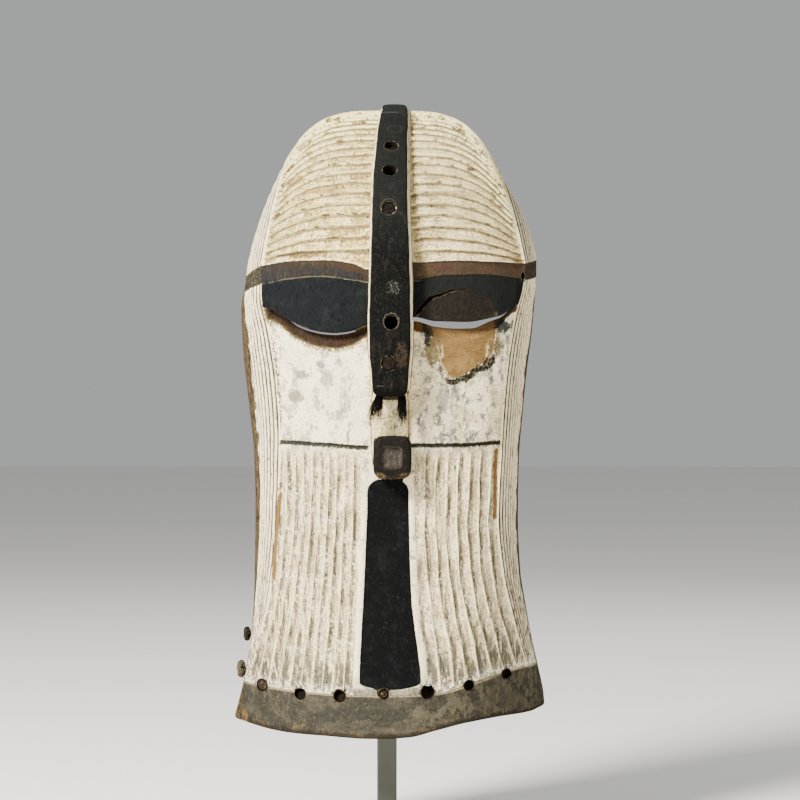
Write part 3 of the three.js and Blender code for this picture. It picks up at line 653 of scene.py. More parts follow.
    def paint_fields(self, row: Row, points: Points) -> dict[str, Values]:
        """Distances in mm that the paint follows, positive inside each zone."""
        found = {key: np.zeros_like(row.u) for key in (*ZONES, "side", "rim", "hem")}
        for side, here in row.halves():
            u, s = row.u[here], row.s[here]
            z = BROW_Z + np.minimum(s, 0.0)
            edge = side.edge(z)
            x, to_edge = np.minimum(u, 1.0) * edge, (1 - u) * edge
            lid_low, lid_top = side.line(side.lid_low, u), side.line(side.lid_top, u)
            brow_top, socket_low = side.line(side.brow_top, u), side.line(side.socket_low, u)
            inset = side.strip_half(z) - x
            ends = np.minimum(z - 153.5 - 4.5 * (x / 27) ** 2, 343 - z)
            turn = np.where(z > 250, 12.0, 2.2)
            corner = turn - np.hypot(turn - inset, turn - ends)
            span = RIM_DEPTH - EDGE_DEPTH(z)
            here_found = {
                "lid": np.minimum.reduce([s - lid_low, lid_top - s, to_edge - 1.0]),
                "brow": np.minimum(s - lid_top, brow_top - s), "crown": s - brow_top,
                "socket": np.minimum.reduce([s - socket_low, lid_low - s, to_edge - 1.5]),
                "strip": np.where(np.maximum(inset, ends) < turn, corner,
                                  np.minimum(inset, ends)),
                "line": np.minimum.reduce([2.0 - np.abs(s - side.line(side.cut_line, u)),
                                           to_edge - 0.5, x - 19.0]),
                "band": side.signed(GROOVE_Z, u) - s, "hem": s - side.signed(BOTTOM_Z, u),
                "side": np.where(u <= 1, (u - 1) * edge, (u - 1) * span),
                "rim": np.minimum((2 - u) * span, CROWN_ARC - s)}
            for key, values in here_found.items():
                found[key][here] = values
        patch, flake, *scars = [worn.inside(points[:, 0], points[:, 2]) for worn in Worn]
        scar = np.where(row.u <= 1, np.maximum(*scars), OUTSIDE)
        return found | {"patch": patch, "flake": flake, "scar": scar}

    def carving_fields(self, row: Row, ways: Points, band: Values) -> dict[str, Values]:
        """Phases and shares of the ridges, flutes and ribs, and the ways that they sink."""
        below = np.zeros_like(row.u)
        for side, here in row.halves():
            below[here] = side.line(side.cut_line, row.u[here]) - row.s[here]
        fluted = (row.flute > 0) * (0.15 + 0.85 * smooth(2, 19, below)) * (
            1 - smooth(-2.5, 0.0, band))
        return {"ridge": np.maximum(row.ridge, 0), "ridged": (row.ridge >= 0) * edge_fade(row.u),
                "flute": row.flute, "fluted": fluted,
                "rib": np.maximum((row.u - 1) * (SIDE_RIBS + 1), 0),
                "ribbed": (row.u > 1.001) * (row.u < 1.9) * 1.0,
                "inside": np.zeros_like(row.u), "ways": ways}

    def inside_rows(self) -> list[tuple[Values, Points]]:
        """Rows of the hollow as keys and points."""
        columns = np.array([0, 0.08, 0.16, 0.24, 0.32, 0.4, 0.48, 0.56, 0.64, 0.72, 0.79, 0.85, 0.9,
                            0.95, 1, 1.07, 1.15, 1.25, 1.35, 1.47, 1.6, 1.73, 1.87, 2])
        levels = [None, -423, -415, *range(-405, -20, 9), -20, -11, -3, 7, 16,
                  *range(25, 232, 9), CROWN_ARC]
        back = FACE_Y + RIM_DEPTH
        found = []
        for level in levels:
            halves = []
            for side in (LEFT, RIGHT):
                s = bottom = side.signed(BOTTOM_Z, columns)
                if level is not None:
                    lowest = bottom + 0.35 * (level - BOTTOM) if level < -380 else -math.inf
                    s = np.maximum(np.full_like(columns, level), lowest)
                wall = WALL + (RIM_WALL - WALL) * smooth(1.1, 2, columns)
                wall = wall + 0.8 * wander(side.sign * 5.1, columns * 100 + s * 0.4, 60) * (
                    columns < 1.9) * (level is not None)
                at = np.minimum(s, CROWN_ARC - 1)
                p = skin(side, columns, s) - outward(side, columns, at) * wall[:, None]
                p[:, 1] = back if level == CROWN_ARC else np.minimum(p[:, 1], back)
                p[-1, 1] = back
                if level is None:
                    p[:, 2] = skin(side, columns, s)[:, 2]
                elif level >= 0:
                    p[-1] = skin(side, 2.0, 0.0) - outward(side, 2.0, -1.0) * RIM_WALL
                    p[-1, 1] = back
                halves.append((side.sign * columns, p))
            (ka, pa), (kb, pb) = halves
            found.append((np.concatenate([ka[::-1], kb[1:]]), np.concatenate([pa[::-1], pb[1:]])))
        return found

    def build(self) -> Piece:
        """Builds the closed shell with the fields for carving and painting."""
        self.lay_band_and_field()
        self.lay_eyes()
        self.lay_crown()
        outer, fields = [], {}
        for row in self.rows:
            points, ways = self.surface(row)
            outer.append((row.key, points))
            values = self.paint_fields(row, points)
            values |= self.carving_fields(row, ways, values["band"])
            for key, part in values.items():
                fields.setdefault(key, []).append(part)
        inner = self.inside_rows()
        everything = np.concatenate([points for _, points in outer + inner])
        hollow = sum(len(key) for key, _ in inner)
        for key, parts in fields.items():
            values = np.concatenate(parts)
            plain = OUTSIDE if key in ZONES else float(key in ("inside", "hem"))
            fields[key] = np.concatenate([values, np.full((hollow, *values.shape[1:]), plain)])
        outside = numbered(outer, 0)
        lining = numbered(inner, len(everything) - hollow)
        faces: list[tuple[int, ...]] = []
        for a, b in zip(outside, outside[1:]):
            zip_rows(faces, *a, *b)
        for a, b in zip(lining, lining[1:]):
            zip_rows(faces, *b, *a)
        for a, b in zip(rim_loops(outside, everything), rim_loops(lining, everything)):
            zip_rows(faces, *a, *b)
        log.info("shell: %d points, %d faces", len(everything), len(faces))
        return mesh_object("mask_carving", everything, faces, fields)


def numbered(rows: list[tuple[Values, Points]], first: int) -> list[tuple[Values, Values]]:
    """The point numbers and keys of each row, counted on from first."""
    starts = first + np.cumsum([0] + [len(key) for key, _ in rows])
    return [(start + np.arange(len(key)), key) for start, (key, _) in zip(starts, rows)]


def zip_rows(faces: list[tuple[int, ...]], a: Values, key_a: Values, b: Values,
             key_b: Values) -> None:
    """Joins two strings of points into a strip of faces, by their keys."""
    if len(a) == len(b) and np.allclose(key_a, key_b):
        for i in range(len(a) - 1):
            faces.append((a[i], a[i + 1], b[i + 1], b[i]))
        return
    i = j = 0
    while i < len(a) - 1 or j < len(b) - 1:
        next_a = key_a[i + 1] if i < len(a) - 1 else math.inf
        next_b = key_b[j + 1] if j < len(b) - 1 else math.inf
        if next_a <= next_b:
            faces.append((a[i], a[i + 1], b[j]))
            i += 1
        else:
            faces.append((a[i], b[j + 1], b[j]))
            j += 1


def rim_loops(strings: list[tuple[Values, Values]], points: Points) -> list[tuple]:
    """The edge of a stack of rows in four strings: up the left, over, down the right, back."""
    firsts = np.array([numbers[0] for numbers, _ in strings])
    down = np.array([numbers[-1] for numbers, _ in strings])[::-1]
    up_key = points[firsts, 2].copy()
    up_key[0] = -1e6
    (bottom, bottom_key), top = strings[0], strings[-1]
    return [(firsts, np.maximum.accumulate(up_key)), top,
            (down, np.maximum.accumulate(-points[down, 2])), (bottom[::-1], -bottom_key[::-1])]


# Lofts, blocks and bores.

def loft(name: str, rings: Sequence[Points], fields: dict[str, Values] | None = None,
         material: Material | None = None) -> Piece:
    """Makes a closed solid through rings with the same number of points.

    Args:
        name: the object's name.
        rings: rings of x, y, z in millimetres.
        fields: values at the points, ring after ring.
        material: the material of all its faces.

    Returns:
        The object, with its faces outwards.
    """
    count = len(rings[0])
    faces: list[tuple[int, ...]] = []
    for i in range(len(rings) - 1):
        for k in range(count):
            n = (k + 1) % count
            faces.append((i * count + k, i * count + n, (i + 1) * count + n, (i + 1) * count + k))
    points = np.concatenate([np.asarray(ring, float) for ring in rings])
    ends = (np.mean(rings[0], axis=0), np.mean(rings[-1], axis=0))
    last = (len(rings) - 1) * count
    total = len(points)
    for k in range(count):
        n = (k + 1) % count
        faces.append((total, n, k))
        faces.append((total + 1, last + k, last + n))
    points = np.concatenate([points, np.array(ends)])
    padded = {key: np.concatenate([v, v[:1], v[-1:]]) for key, v in (fields or {}).items()}
    made = clean(mesh_object(name, points, faces, padded), 0.001)
    if material:
        made.data.materials.append(material)
    return made


def rounded(width: float, height: float, radius: float, steps: int = 6, bow: float = 0.0) -> Points:
    """Outline of a rectangle with round corners, as x and z, with sides bowed out by bow."""
    found = []
    for cx, cz, start in ((1, -1, -0.5), (1, 1, 0), (-1, 1, 0.5), (-1, -1, 1)):
        for t in np.linspace(0, 0.5, steps):
            angle = (start + t) * math.pi
            found.append((cx * (width / 2 - radius) + radius * math.cos(angle),
                          cz * (height / 2 - radius) + radius * math.sin(angle)))
        for t in (0.25, 0.5, 0.75):
            if start in (-0.5, 0.5):
                side = width / 2 + bow * math.sin(t * math.pi)
                found.append((cx * side, cz * (height / 2 - radius) * (1 - 2 * t)))
            else:
                side = height / 2 + bow * math.sin(t * math.pi)
                found.append((cx * (width / 2 - radius) * (1 - 2 * t), cz * side))
    return np.array(found)


def bore(name: str, centre: Sequence[float], way: Sequence[float], across: Sequence[float],
         upward: Sequence[float], stations: Sequence[tuple[float, float]],
         material: Material, seed: float, uneven: float = 0.05, sides: int = 28) -> Piece:
    """Makes a slightly uneven round solid along a straight way, to cut a hole or to fill one.

    Args:
        name: the object's name.
        centre: the middle of the hole's mouth, mm.
        way: direction per mm of depth into the wood.
        across: unit direction of one axis of its round section.
        upward: unit direction of the other axis.
        stations: depth and radius along it.
        material: the material of its faces.
        seed: start of the unevenness.
        uneven: share by which the radius wanders.
        sides: points round it.

    Returns:
        The closed solid.
    """
    turn = np.linspace(0, 2 * math.pi, sides, endpoint=False)
    wobble = 1 + uneven * (np.sin(turn * 2 + seed) * 0.6 + np.sin(turn * 3 + seed * 2.3) * 0.4)
    rings = []
    for depth, radius in stations:
        middle = np.asarray(centre, float) + np.asarray(way, float) * depth
        ring = (np.cos(turn)[:, None] * np.asarray(across, float)
                + np.sin(turn)[:, None] * np.asarray(upward, float))
        rings.append(middle + ring * (radius * wobble)[:, None])
    return loft(name, rings, None, material)


# Carving by Geometry Nodes.

def repeated(tree: Tree, phase: Any, stations: Sequence[tuple[float, float]]) -> Any:
    """Depth over one repeat, 0 on the arris and 1 at the deepest, from the phase's fraction."""
    part = put(tree, "ShaderNodeMath", [phase], operation="FRACT")
    curve = put(tree, "ShaderNodeFloatCurve", {"Value": part})
    line = curve.node.mapping.curves[0].points
    line[0].location, line[1].location = stations[0], stations[-1]
    for station in stations[1:-1]:
        line.new(*station)
    for point in (line[0], line[len(line) - 1]):
        point.handle_type = "VECTOR"
    curve.node.mapping.update()
    return curve


def carving_nodes() -> Tree:
    """The tool marks that repeat over the skin: forehead ridges, flutes and side ribs.

    Returns:
        A tree that sinks the skin along its outward ways by the three profiles, with a hand's
        unevenness, recesses the broken flake, and keeps the depth as the field hollow.
    """
    depth, whole = "NodeSocketFloat", "NodeSocketInt"
    tree, given = new_nodes("carving", {
        "Ridge depth": (depth, 2.8), "Flute depth": (depth, 1.7), "Rib depth": (depth, 1.5),
        "Flake depth": (depth, 1.2), "Hand": (depth, 0.3), "Seed": (whole, 3),
        "Material": ("NodeSocketMaterial", None)})

    def field_of(name: str, kind: str = "FLOAT") -> Socket:
        """A field stored on the mesh."""
        return put(tree, "GeometryNodeInputNamedAttribute", {"Name": name}, data_type=kind)

    def scaled(value: Any, factor: Any, more: Any = 0.0) -> Socket:
        """Value times factor, plus more."""
        return put(tree, "ShaderNodeMath", [value, factor, more], operation="MULTIPLY_ADD")

    spot = put(tree, "ShaderNodeVectorMath", {0: put(tree, "GeometryNodeInputPosition"),
                                              3: 1 / MM}, operation="SCALE")

    def noise(size: float, detail: float) -> Socket:
        """Noise from -1 to 1 with bumps of a size in mm."""
        made = put(tree, "ShaderNodeTexNoise",
                   {"Vector": spot, "W": given.outputs["Seed"], "Scale": 1 / size,
                    "Detail": detail}, noise_dimensions="4D")
        return scaled(made, 2.0, -1.0)

    waves = {
        "ridge": ((0, 0), (0.07, 0.3), (0.2, 0.52), (0.42, 0.75), (0.64, 0.92), (0.82, 1),
                  (0.91, 0.92), (0.96, 0.55), (1, 0)),
        "flute": ((0, 0), (0.12, 0.5), (0.3, 0.88), (0.5, 1), (0.7, 0.88), (0.88, 0.5), (1, 0)),
        "rib": ((0, 0), (0.15, 0.45), (0.4, 0.95), (0.6, 1), (0.85, 0.45), (1, 0))}
    sunk, shown = 0.0, 0.0
    for (name, profile), where in zip(waves.items(), ("ridged", "fluted", "ribbed")):
        here = scaled(repeated(tree, field_of(name), profile), field_of(where))
        sunk = scaled(here, given.outputs[f"{name.capitalize()} depth"], sunk)
        shown = put(tree, "ShaderNodeMath", [shown, here], operation="MAXIMUM")
    sunk = scaled(sunk, scaled(noise(16, 2), given.outputs["Hand"], 1.0))
    torn = scaled(noise(5, 2), 1.2, field_of("flake"))
    flake = put(tree, "ShaderNodeMapRange", [torn, -0.3, 1.2, 0.0, 1.0])
    sunk = scaled(flake, given.outputs["Flake depth"], sunk)
    uneven = scaled(noise(22, 1), 0.28, scaled(noise(7, 2), 0.16))
    depth = scaled(scaled(uneven, 1.0, sunk), -MM)
    offset = put(tree, "ShaderNodeVectorMath", {0: field_of("ways", "FLOAT_VECTOR"), 3: depth},
                 operation="SCALE")
    moved = put(tree, "GeometryNodeSetPosition", {"Geometry": given.outputs["Geometry"],
                                                  "Offset": offset})
    kept = put(tree, "GeometryNodeStoreNamedAttribute",
               {"Geometry": moved, "Name": "hollow", "Value": shown}, data_type="FLOAT")
    return dressed(tree, given, put(tree, "GeometryNodeRealizeInstances", [kept]))


def dressed(tree: Tree, given: Any, mesh: Socket) -> Tree:
    """Ends a tree: the mesh goes out in the material that the tree is given."""
    whole = put(tree, "GeometryNodeSetMaterial", {"Geometry": mesh,
                                                  "Material": given.outputs["Material"]})
    put(tree, "NodeGroupOutput", [whole])
    return tree


def bristle_nodes() -> Tree:
    """A tapered bristle on every point, along the field way, as long as the field reach."""
    size = "NodeSocketFloat"
    tree, given = new_nodes("bristles", {"Radius": (size, 0.2), "Tip radius": (size, 0.05),
                                         "Bend": (size, 1.0), "Seed": ("NodeSocketInt", 1),
                                         "Material": ("NodeSocketMaterial", None)})

    def metres(name: str) -> Socket:
        """A given size in metres."""
        return put(tree, "ShaderNodeMath", [given.outputs[name], MM], operation="MULTIPLY")

    cone = put(tree, "GeometryNodeMeshCone",
               {"Vertices": 5, "Side Segments": 7, "Radius Bottom": metres("Radius"),
                "Radius Top": metres("Tip radius"), "Depth": MM})
    way = put(tree, "GeometryNodeInputNamedAttribute", {"Name": "way"}, data_type="FLOAT_VECTOR")
    reach = put(tree, "GeometryNodeInputNamedAttribute", {"Name": "reach"}, data_type="FLOAT")
    turn = put(tree, "FunctionNodeAlignRotationToVector", {"Vector": way}, axis="Z")
    stretch = put(tree, "ShaderNodeCombineXYZ", [1.0, 1.0, reach])
    dots = put(tree, "GeometryNodeMeshToPoints", [given.outputs["Geometry"]])
    placed = put(tree, "GeometryNodeInstanceOnPoints",
                 {"Points": dots, "Instance": cone, "Rotation": turn, "Scale": stretch})
    whole = put(tree, "GeometryNodeRealizeInstances", [placed])
    spot = put(tree, "ShaderNodeVectorMath", {0: put(tree, "GeometryNodeInputPosition"),
                                              3: 1 / MM}, operation="SCALE")
    swing = put(tree, "ShaderNodeTexNoise", {"Vector": spot, "W": given.outputs["Seed"],
                                             "Scale": 0.11, "Detail": 1.0}, out="Color",
                noise_dimensions="4D")
    middle = put(tree, "ShaderNodeVectorMath", [swing, (0.5, 0.5, 0.5)], operation="SUBTRACT")
    push = put(tree, "ShaderNodeVectorMath", {0: middle, 3: metres("Bend")}, operation="SCALE")
    bent = put(tree, "GeometryNodeSetPosition", {"Geometry": whole, "Offset": push})
    return dressed(tree, given, bent)


# Materials.

class Surface:
    """One procedural material, laid coat over coat. Sizes are in millimetres."""

    def __init__(self, name: str, colour: str, roughness: float) -> None:
        """Starts from a ground of one sRGB hex colour and one roughness."""
        self.material = bpy.data.materials.new(name)
        self.material.use_nodes = True
        self.tree = self.material.node_tree
        self.shader = next(n for n in self.tree.nodes if n.type == "BSDF_PRINCIPLED")
        place = self.add("TexCoord", out="Object")
        self.place = self.add("VectorMath", {0: place, 3: 1 / MM}, operation="SCALE")
        self.places: dict[tuple, Socket] = {}
        self.colour: Any = linear(colour)
        self.roughness: Any = roughness
        self.height: Any = 0.0
        self.tear: Any = None

    def add(self, kind: str, feeds: Any = (), out: Any = 0, **settings: Any) -> Socket:
        """Adds a shader node to this material, as put does."""
        return put(self.tree, "ShaderNode" + kind, feeds, out, **settings)

    def field(self, name: str) -> Socket:
        """A field stored on the mesh."""
        return self.add("Attribute", out="Fac", attribute_name=name)

    def phase(self, name: str, operation: str = "FRACT") -> Socket:
        """Place within one repeat of a field, 0 to 1, or with PINGPONG 0 to 0.5 and back."""
        return self.add("Math", [self.field(name), 0.5], operation=operation)

    def along(self, axis: str) -> Socket:
        """One coordinate, mm."""
        return self.add("SeparateXYZ", [self.place], out=axis)

    def noise(self, size: float, detail: float = 3.0, stretch: tuple = (1, 1, 1),
              shift: float = 0.0, rough: float = 0.55) -> Socket:
        """Soft noise from 0 to 1.

        Args:
            size: size of its bumps.
            detail: octaves.
            stretch: how far the bumps are drawn out along each axis.
            shift: any number, and another number gives other bumps.
            rough: weight of the fine octaves.

        Returns:
            The socket of the noise.
        """
        if stretch not in self.places:
            shrink = tuple(1 / s for s in stretch)
            self.places[stretch] = self.add("VectorMath", [self.place, shrink],
                                            operation="MULTIPLY")
        scale = 1 / (size * (1 + shift / 900))
        return self.add("TexNoise", {"Vector": self.places[stretch], "Scale": scale,
                                     "Detail": detail, "Roughness": rough})

    def ramp(self, value: Any, low: float, high: float) -> Socket:
        """Smooth step of value from low to high."""
        return self.add("MapRange", [value, low, high, 0.0, 1.0],
                        interpolation_type="SMOOTHSTEP")

    def span(self, value: Any, rise: float, up: float, down: float, fall: float) -> Socket:
        """1 from up to down, fading to 0 at rise before it and at fall after it."""
        return self.share(self.ramp(value, rise, up), self.ramp(value, fall, down))

    def about(self, value: Any, middle: float, low: float, high: float) -> Socket:
        """Smooth step, from low to high, of how far value lies from middle."""
        off = self.add("Math", [value, middle], operation="SUBTRACT")
        return self.ramp(self.add("Math", [off], operation="ABSOLUTE"), low, high)

    def scaled(self, value: Any, factor: Any, more: Any) -> Socket:
        """Value times factor, plus more."""
        return self.add("Math", [value, factor, more], operation="MULTIPLY_ADD")

    def torn(self, value: Any, noise: Any, amount: float) -> Socket:
        """A value shifted by a noise, by up to half of amount either way."""
        tear = self.add("Math", [noise, 0.5], operation="SUBTRACT")
        return self.scaled(tear, amount, value)

    def ragged(self, value: Any, amount: float, size: float, detail: float = 4.0,
               shift: float = 0.0, stretch: tuple = (1, 1, 1)) -> Socket:
        """A distance whose zero line is torn by noise, by about amount mm."""
        return self.torn(value, self.noise(size, detail, stretch, shift), 2 * amount)

    def zone(self, name: str, amount: float = 1.0, size: float = 3.0, soft: float = 0.5,
             shift: float = 0.0, stretch: tuple = (1, 1, 1)) -> Socket:
        """1 inside a painted zone and 0 outside, with a torn edge."""
        distance = self.ragged(self.field(name), amount, size, 4.0, shift, stretch)
        return self.ramp(distance, -soft / 2, soft / 2)

    def share(self, *masks: Any) -> Socket:
        """Product of masks."""
        return reduce(lambda a, b: self.add("Math", [a, b], operation="MULTIPLY"), masks)

    def most(self, *masks: Any) -> Socket:
        """The highest of masks."""
        return reduce(lambda a, b: self.add("Math", [a, b], operation="MAXIMUM"), masks)

    def rest(self, mask: Any) -> Socket:
        """Where the mask is not."""
        return self.add("Math", [1.0, mask], operation="SUBTRACT")

    def coat(self, mask: Any, colour: str, strength: float = 1.0) -> None:
        """Lays a colour over what is there, where the mask is 1, as strong as given."""
        self.colour = self.add("Mix", {"Factor": self.share(mask, strength), 6: self.colour,
                                       7: linear(colour)}, out=2, data_type="RGBA")

    def wear(self, zone: Any, *coats: tuple) -> None:
        """Lays coats in a zone, each where a noise or distance passes from low to high.

        Args:
            zone: the mask that all of them share.
            coats: noise, low, high, colour and, unless it is 1, strength of each.
        """
        for noise, low, high, *paint in coats:
            self.coat(self.share(zone, self.ramp(noise, low, high)), *paint)

    def mark(self, mark: "Mark", where: Any) -> None:
        """Paints one mark where the mask allows."""
        reach = (1 / mark.wide, 0.0, 1 / mark.high)
        start = (-mark.x / mark.wide, 0.0, -mark.z / mark.high)
        off = self.add("VectorMath", [self.place, reach, start], operation="MULTIPLY_ADD")
        far = self.add("VectorMath", [off], out="Value", operation="LENGTH")
        if self.tear is None:
            self.tear = self.noise(3.2, 5, rough=0.7)
        if mark.ring:
            inside = self.about(self.torn(far, self.tear, 0.7), 1.0, mark.ring, mark.ring * 0.3)
        else:
            inside = self.ramp(self.torn(far, self.tear, 2.4), 1.1, 0.75)
        self.coat(self.share(inside, where), mark.colour, mark.strength)

    def gloss(self, mask: Any, roughness: float) -> None:
        """Changes the roughness where the mask is 1."""
        self.roughness = self.add("Mix", {"Factor": mask, 2: self.roughness, 3: roughness})

    def raise_by(self, value: Any, height: float) -> None:
        """Adds value times height in mm to the bump."""
        self.height = self.scaled(value, height, self.height)

    def finish(self, specular: float = 0.5, sheen: float = 0.0) -> Material:
        """Links the coats and the bump to the shader, and sets its specular level and sheen."""
        inputs = self.shader.inputs
        for key, value in (("Base Color", self.colour), ("Roughness", self.roughness)):
            if isinstance(value, Socket):
                self.tree.links.new(value, inputs[key])
            else:
                inputs[key].default_value = value
        if isinstance(self.height, Socket):
            bump = self.add("Bump", {"Height": self.height, "Strength": 1.0, "Distance": MM})
            self.tree.links.new(bump, inputs["Normal"])
        inputs["Specular IOR Level"].default_value = specular
        inputs["Sheen Weight"].default_value = sheen
        return self.material


@dataclass(frozen=True)
class Mark:
    """A stain, rub or chip: an ellipse on the front with a torn edge, or the ring round it."""

    x: float
    z: float
    wide: float
    high: float
    colour: str
    strength: float = 0.7
    ring: float = 0.0


FACE_MARKS = (
    Mark(-79, 651, 8, 4, "6e5330", 0.6), Mark(-86.5, 616, 9, 4, "6e5330", 0.6),
    Mark(-60, 605, 20, 3, "8a6f45", 0.6), Mark(-75, 546.5, 28, 3, "54402a", 0.7),
    Mark(-22, 574, 9, 4, "8f7850", 0.5), Mark(121, 543, 5, 4, "7a5428", 0.55),
    Mark(62, 602, 22, 3, "8f7850", 0.5), Mark(40, 562, 14, 4, "8f7850", 0.4),
    Mark(77, 626, 4, 2, "2e2319", 0.8), Mark(-30, 534, 10, 4, "3c2e20", 0.5),
    Mark(-44.5, 538.6, 2, 1.2, "43201f", 0.7),
    Mark(51, 533.5, 9, 3, "40262a", 0.4), Mark(91, 534, 6, 3, "4f3825", 0.35),
    Mark(117, 531, 2.6, 4, "553a24", 0.4), Mark(35, 530, 8, 5, "54442c", 0.45),
)
EYE_MARKS = (
    Mark(-77, 438, 6, 4, "85807a", 0.9), Mark(-83, 418, 5, 6, "857c66", 0.9),
    Mark(-60, 447, 4, 4, "7f8480", 0.9), Mark(29, 481, 4, 6, "6b4a28", 0.9),
    Mark(41, 458, 7, 13, "7a683f", 0.85), Mark(37, 470, 3.2, 7, "2a2d2d", 0.95),
    Mark(106, 482, 7.5, 6, "262a2b", 0.95), Mark(47, 468, 9, 4, "64503a", 0.5),
    Mark(101, 463, 3.4, 9, "5b4c30", 0.85),
)
CREST_MARKS = (
    Mark(4.4, 484.8, 7.0, 7.0, "413c32", 0.8, 0.1), Mark(4.5, 646, 7, 5, "2b2620", 0.3, 0.2),
    Mark(2.2, 588, 7.4, 7.4, "3a3327", 0.5, 0.1), Mark(7.4, 664, 6.5, 3.4, "2c281f", 0.5, 0.2),
    Mark(-6, 427, 4, 0.6, "2e302c", 0.7), Mark(4, 683, 9, 0.6, "3a3c38", 0.7),
)
BAND_MARK = Mark(-138, 116, 8, 8, "6e5434", 0.85)
CREST_RUB = Mark(13.5, 456, 5.5, 12, "2b2219", 0.9)
CREST_GREY = Mark(6.3, 515.5, 6.5, 7, "45443d", 0.9)


def earth_paint() -> Material:
    """White earth paint on carved wood, with black lids and strip and brown bands.

    It gives the eye chalky, matt white that is gritty close up, tan wood and dirt in the
    hollows, painted shade under the ridges and beside the flute arrises, thin arrises with
    painted highlights, torn edges where colours meet, and the bare band, patch and rim.
    """
    s = Surface("earth_painted_wood", "d8bd70", 0.92)
    x, z = s.along("X"), s.along("Z")
    face = s.ramp(s.field("side"), 0.5, -0.5)
    wall = s.rest(face)
    right = s.ramp(x, 8, 40)
    left = s.rest(right)
    ridged, fluted = s.field("ridged"), s.field("fluted")
    carved = s.most(ridged, fluted, wall)
    grit = s.noise(2.1, 5, (1, 1, 1.3), 21, 0.74)
    patchy = s.noise(13, 5, (1, 1, 1.3), 24, 0.6)
    coarse = s.torn(grit, patchy, 0.5)
    streaky = s.noise(6, 6, (0.8, 1, 2.6), 14, 0.72)
    rubbed = s.noise(5, 5, (2, 1, 2), 31, 0.72)

    # The white ground with its stains and smears, and the dirty lip over the mouth.
    plain = s.rest(carved)
    s.coat(s.share(plain, left), "fff1c6", 0.97)
    s.coat(s.share(plain, right), "f6e6c0", 0.9)
    s.coat(fluted, "f8e7ba", 0.9)
    s.coat(s.ramp(coarse, 0.5, 0.4), "fff3c8", 0.7)
    stained = s.scaled(fluted, -0.45, carved)
    s.wear(stained, (coarse, 0.49, 0.56, "a08c5a", 0.75), (coarse, 0.57, 0.62, "6f6040", 0.8))
    s.wear(carved, (streaky, 0.55, 0.62, "8a7b68", 0.6))
    s.wear(plain, (s.noise(15, 6, (1, 1, 1.5), 11, 0.68), 0.54, 0.565, "938e80", 0.75),
           (coarse, 0.57, 0.6, "8f8a78", 0.6))
    tan = s.noise(22, 5, (1, 1, 1.3), 61, 0.6)
    s.wear(s.share(plain, right), (tan, 0.5, 0.58, "97845c", 0.5))
    smears = s.noise(9, 7, (1, 1, 1.3), 34, 0.74)
    tide = s.scaled(right, 0.06, smears)
    grey = s.share(plain, s.ramp(tide, 0.6, 0.625))
    s.coat(grey, "6d7069", 0.8)
    s.wear(plain, (tide, 0.66, 0.685, "4f4a3c", 0.75), (coarse, 0.44, 0.4, "fff4d0", 0.9))
    lip = s.share(s.about(x, MIDLINE, 21, 17), s.ramp(z, 372, 380), plain)
    s.coat(lip, "e6cf92", 0.6)
    s.wear(lip, (grit, 0.53, 0.58, "7b6b4a", 0.7), (grit, 0.61, 0.64, "2b2219", 0.8))

    # Dirt and painted shade under the forehead ridges, and dirt towards their outer ends.
    part = s.phase("ridge")
    streak = s.noise(8, 5, (3.6, 1, 0.5), 3, 0.68)
    s.coat(s.share(ridged, right), "ecdab4", 0.35)
    # Painted shade: the dark band just under each arris, as if lit from above, with dirt in it.
    under = s.share(s.span(part, 0.6, 0.76, 0.955, 0.985), ridged)
    s.wear(under, (streak, 0.26, 0.44, "6b6045", 0.8), (streak, 0.5, 0.62, "453d2a", 0.8))
    floor = s.share(s.ramp(part, 0.2, 0.34), ridged)
    s.wear(floor, (streak, 0.52, 0.6, "7d6d4a", 0.65))
    ends = s.share(ridged, s.ramp(s.field("side"), -22, -3))
    s.wear(ends, (streak, 0.4, 0.56, "6a5a3c", 0.6))

    # Dirt in the flutes, and painted shade just right of each arris, as if lit from the left.
    turn = s.phase("flute")
    lee = s.scaled(right, turn, s.share(left, s.rest(turn)))
    across = s.phase("flute", "PINGPONG")
    drawn = s.noise(4.5, 6, (0.8, 0.8, 7), 7, 0.72)
    trough = s.share(s.ramp(across, 0.06, 0.18), fluted)
    # Painted shade: the stretch of each flute just right of its arris.
    shady = s.share(s.span(lee, 0.05, 0.1, 0.3, 0.6), fluted)
    s.wear(trough, (drawn, 0.38, 0.6, "9d8a6a", 0.7))
    s.wear(shady, (drawn, 0.38, 0.5, "746853", 0.92), (drawn, 0.53, 0.6, "4a3f2d", 0.92))
    s.wear(trough, (coarse, 0.46, 0.38, "fff0cc", 0.8))

    # White side walls with furrows between their ribs darkened by dirt and painted shade, the
    # right wall's furrows darkest as painted shade, and dirtier low down.
    furrow = s.share(s.field("ribbed"), s.ramp(s.phase("rib", "PINGPONG"), 0.2, 0.36))
    fine = s.noise(2.0, 6, (0.7, 0.7, 10), 9, 0.72)
    s.coat(wall, "fff0cc", 0.75)
    s.wear(furrow, (fine, 0.28, 0.46, "4a4231", 0.97), (fine, 0.45, 0.55, "2c261c", 0.95))
    s.wear(wall, (fine, 0.55, 0.62, "5a4d36", 0.85))
    # Painted shade: the furrows of the right wall, the side away from the light, made darker still.
    s.wear(s.share(furrow, right), (fine, 0.36, 0.44, "2f281d", 0.85))
    foot = s.share(wall, s.ramp(z, 330, 200))
    s.wear(foot, (fine, 0.46, 0.54, "554b3a", 0.9))
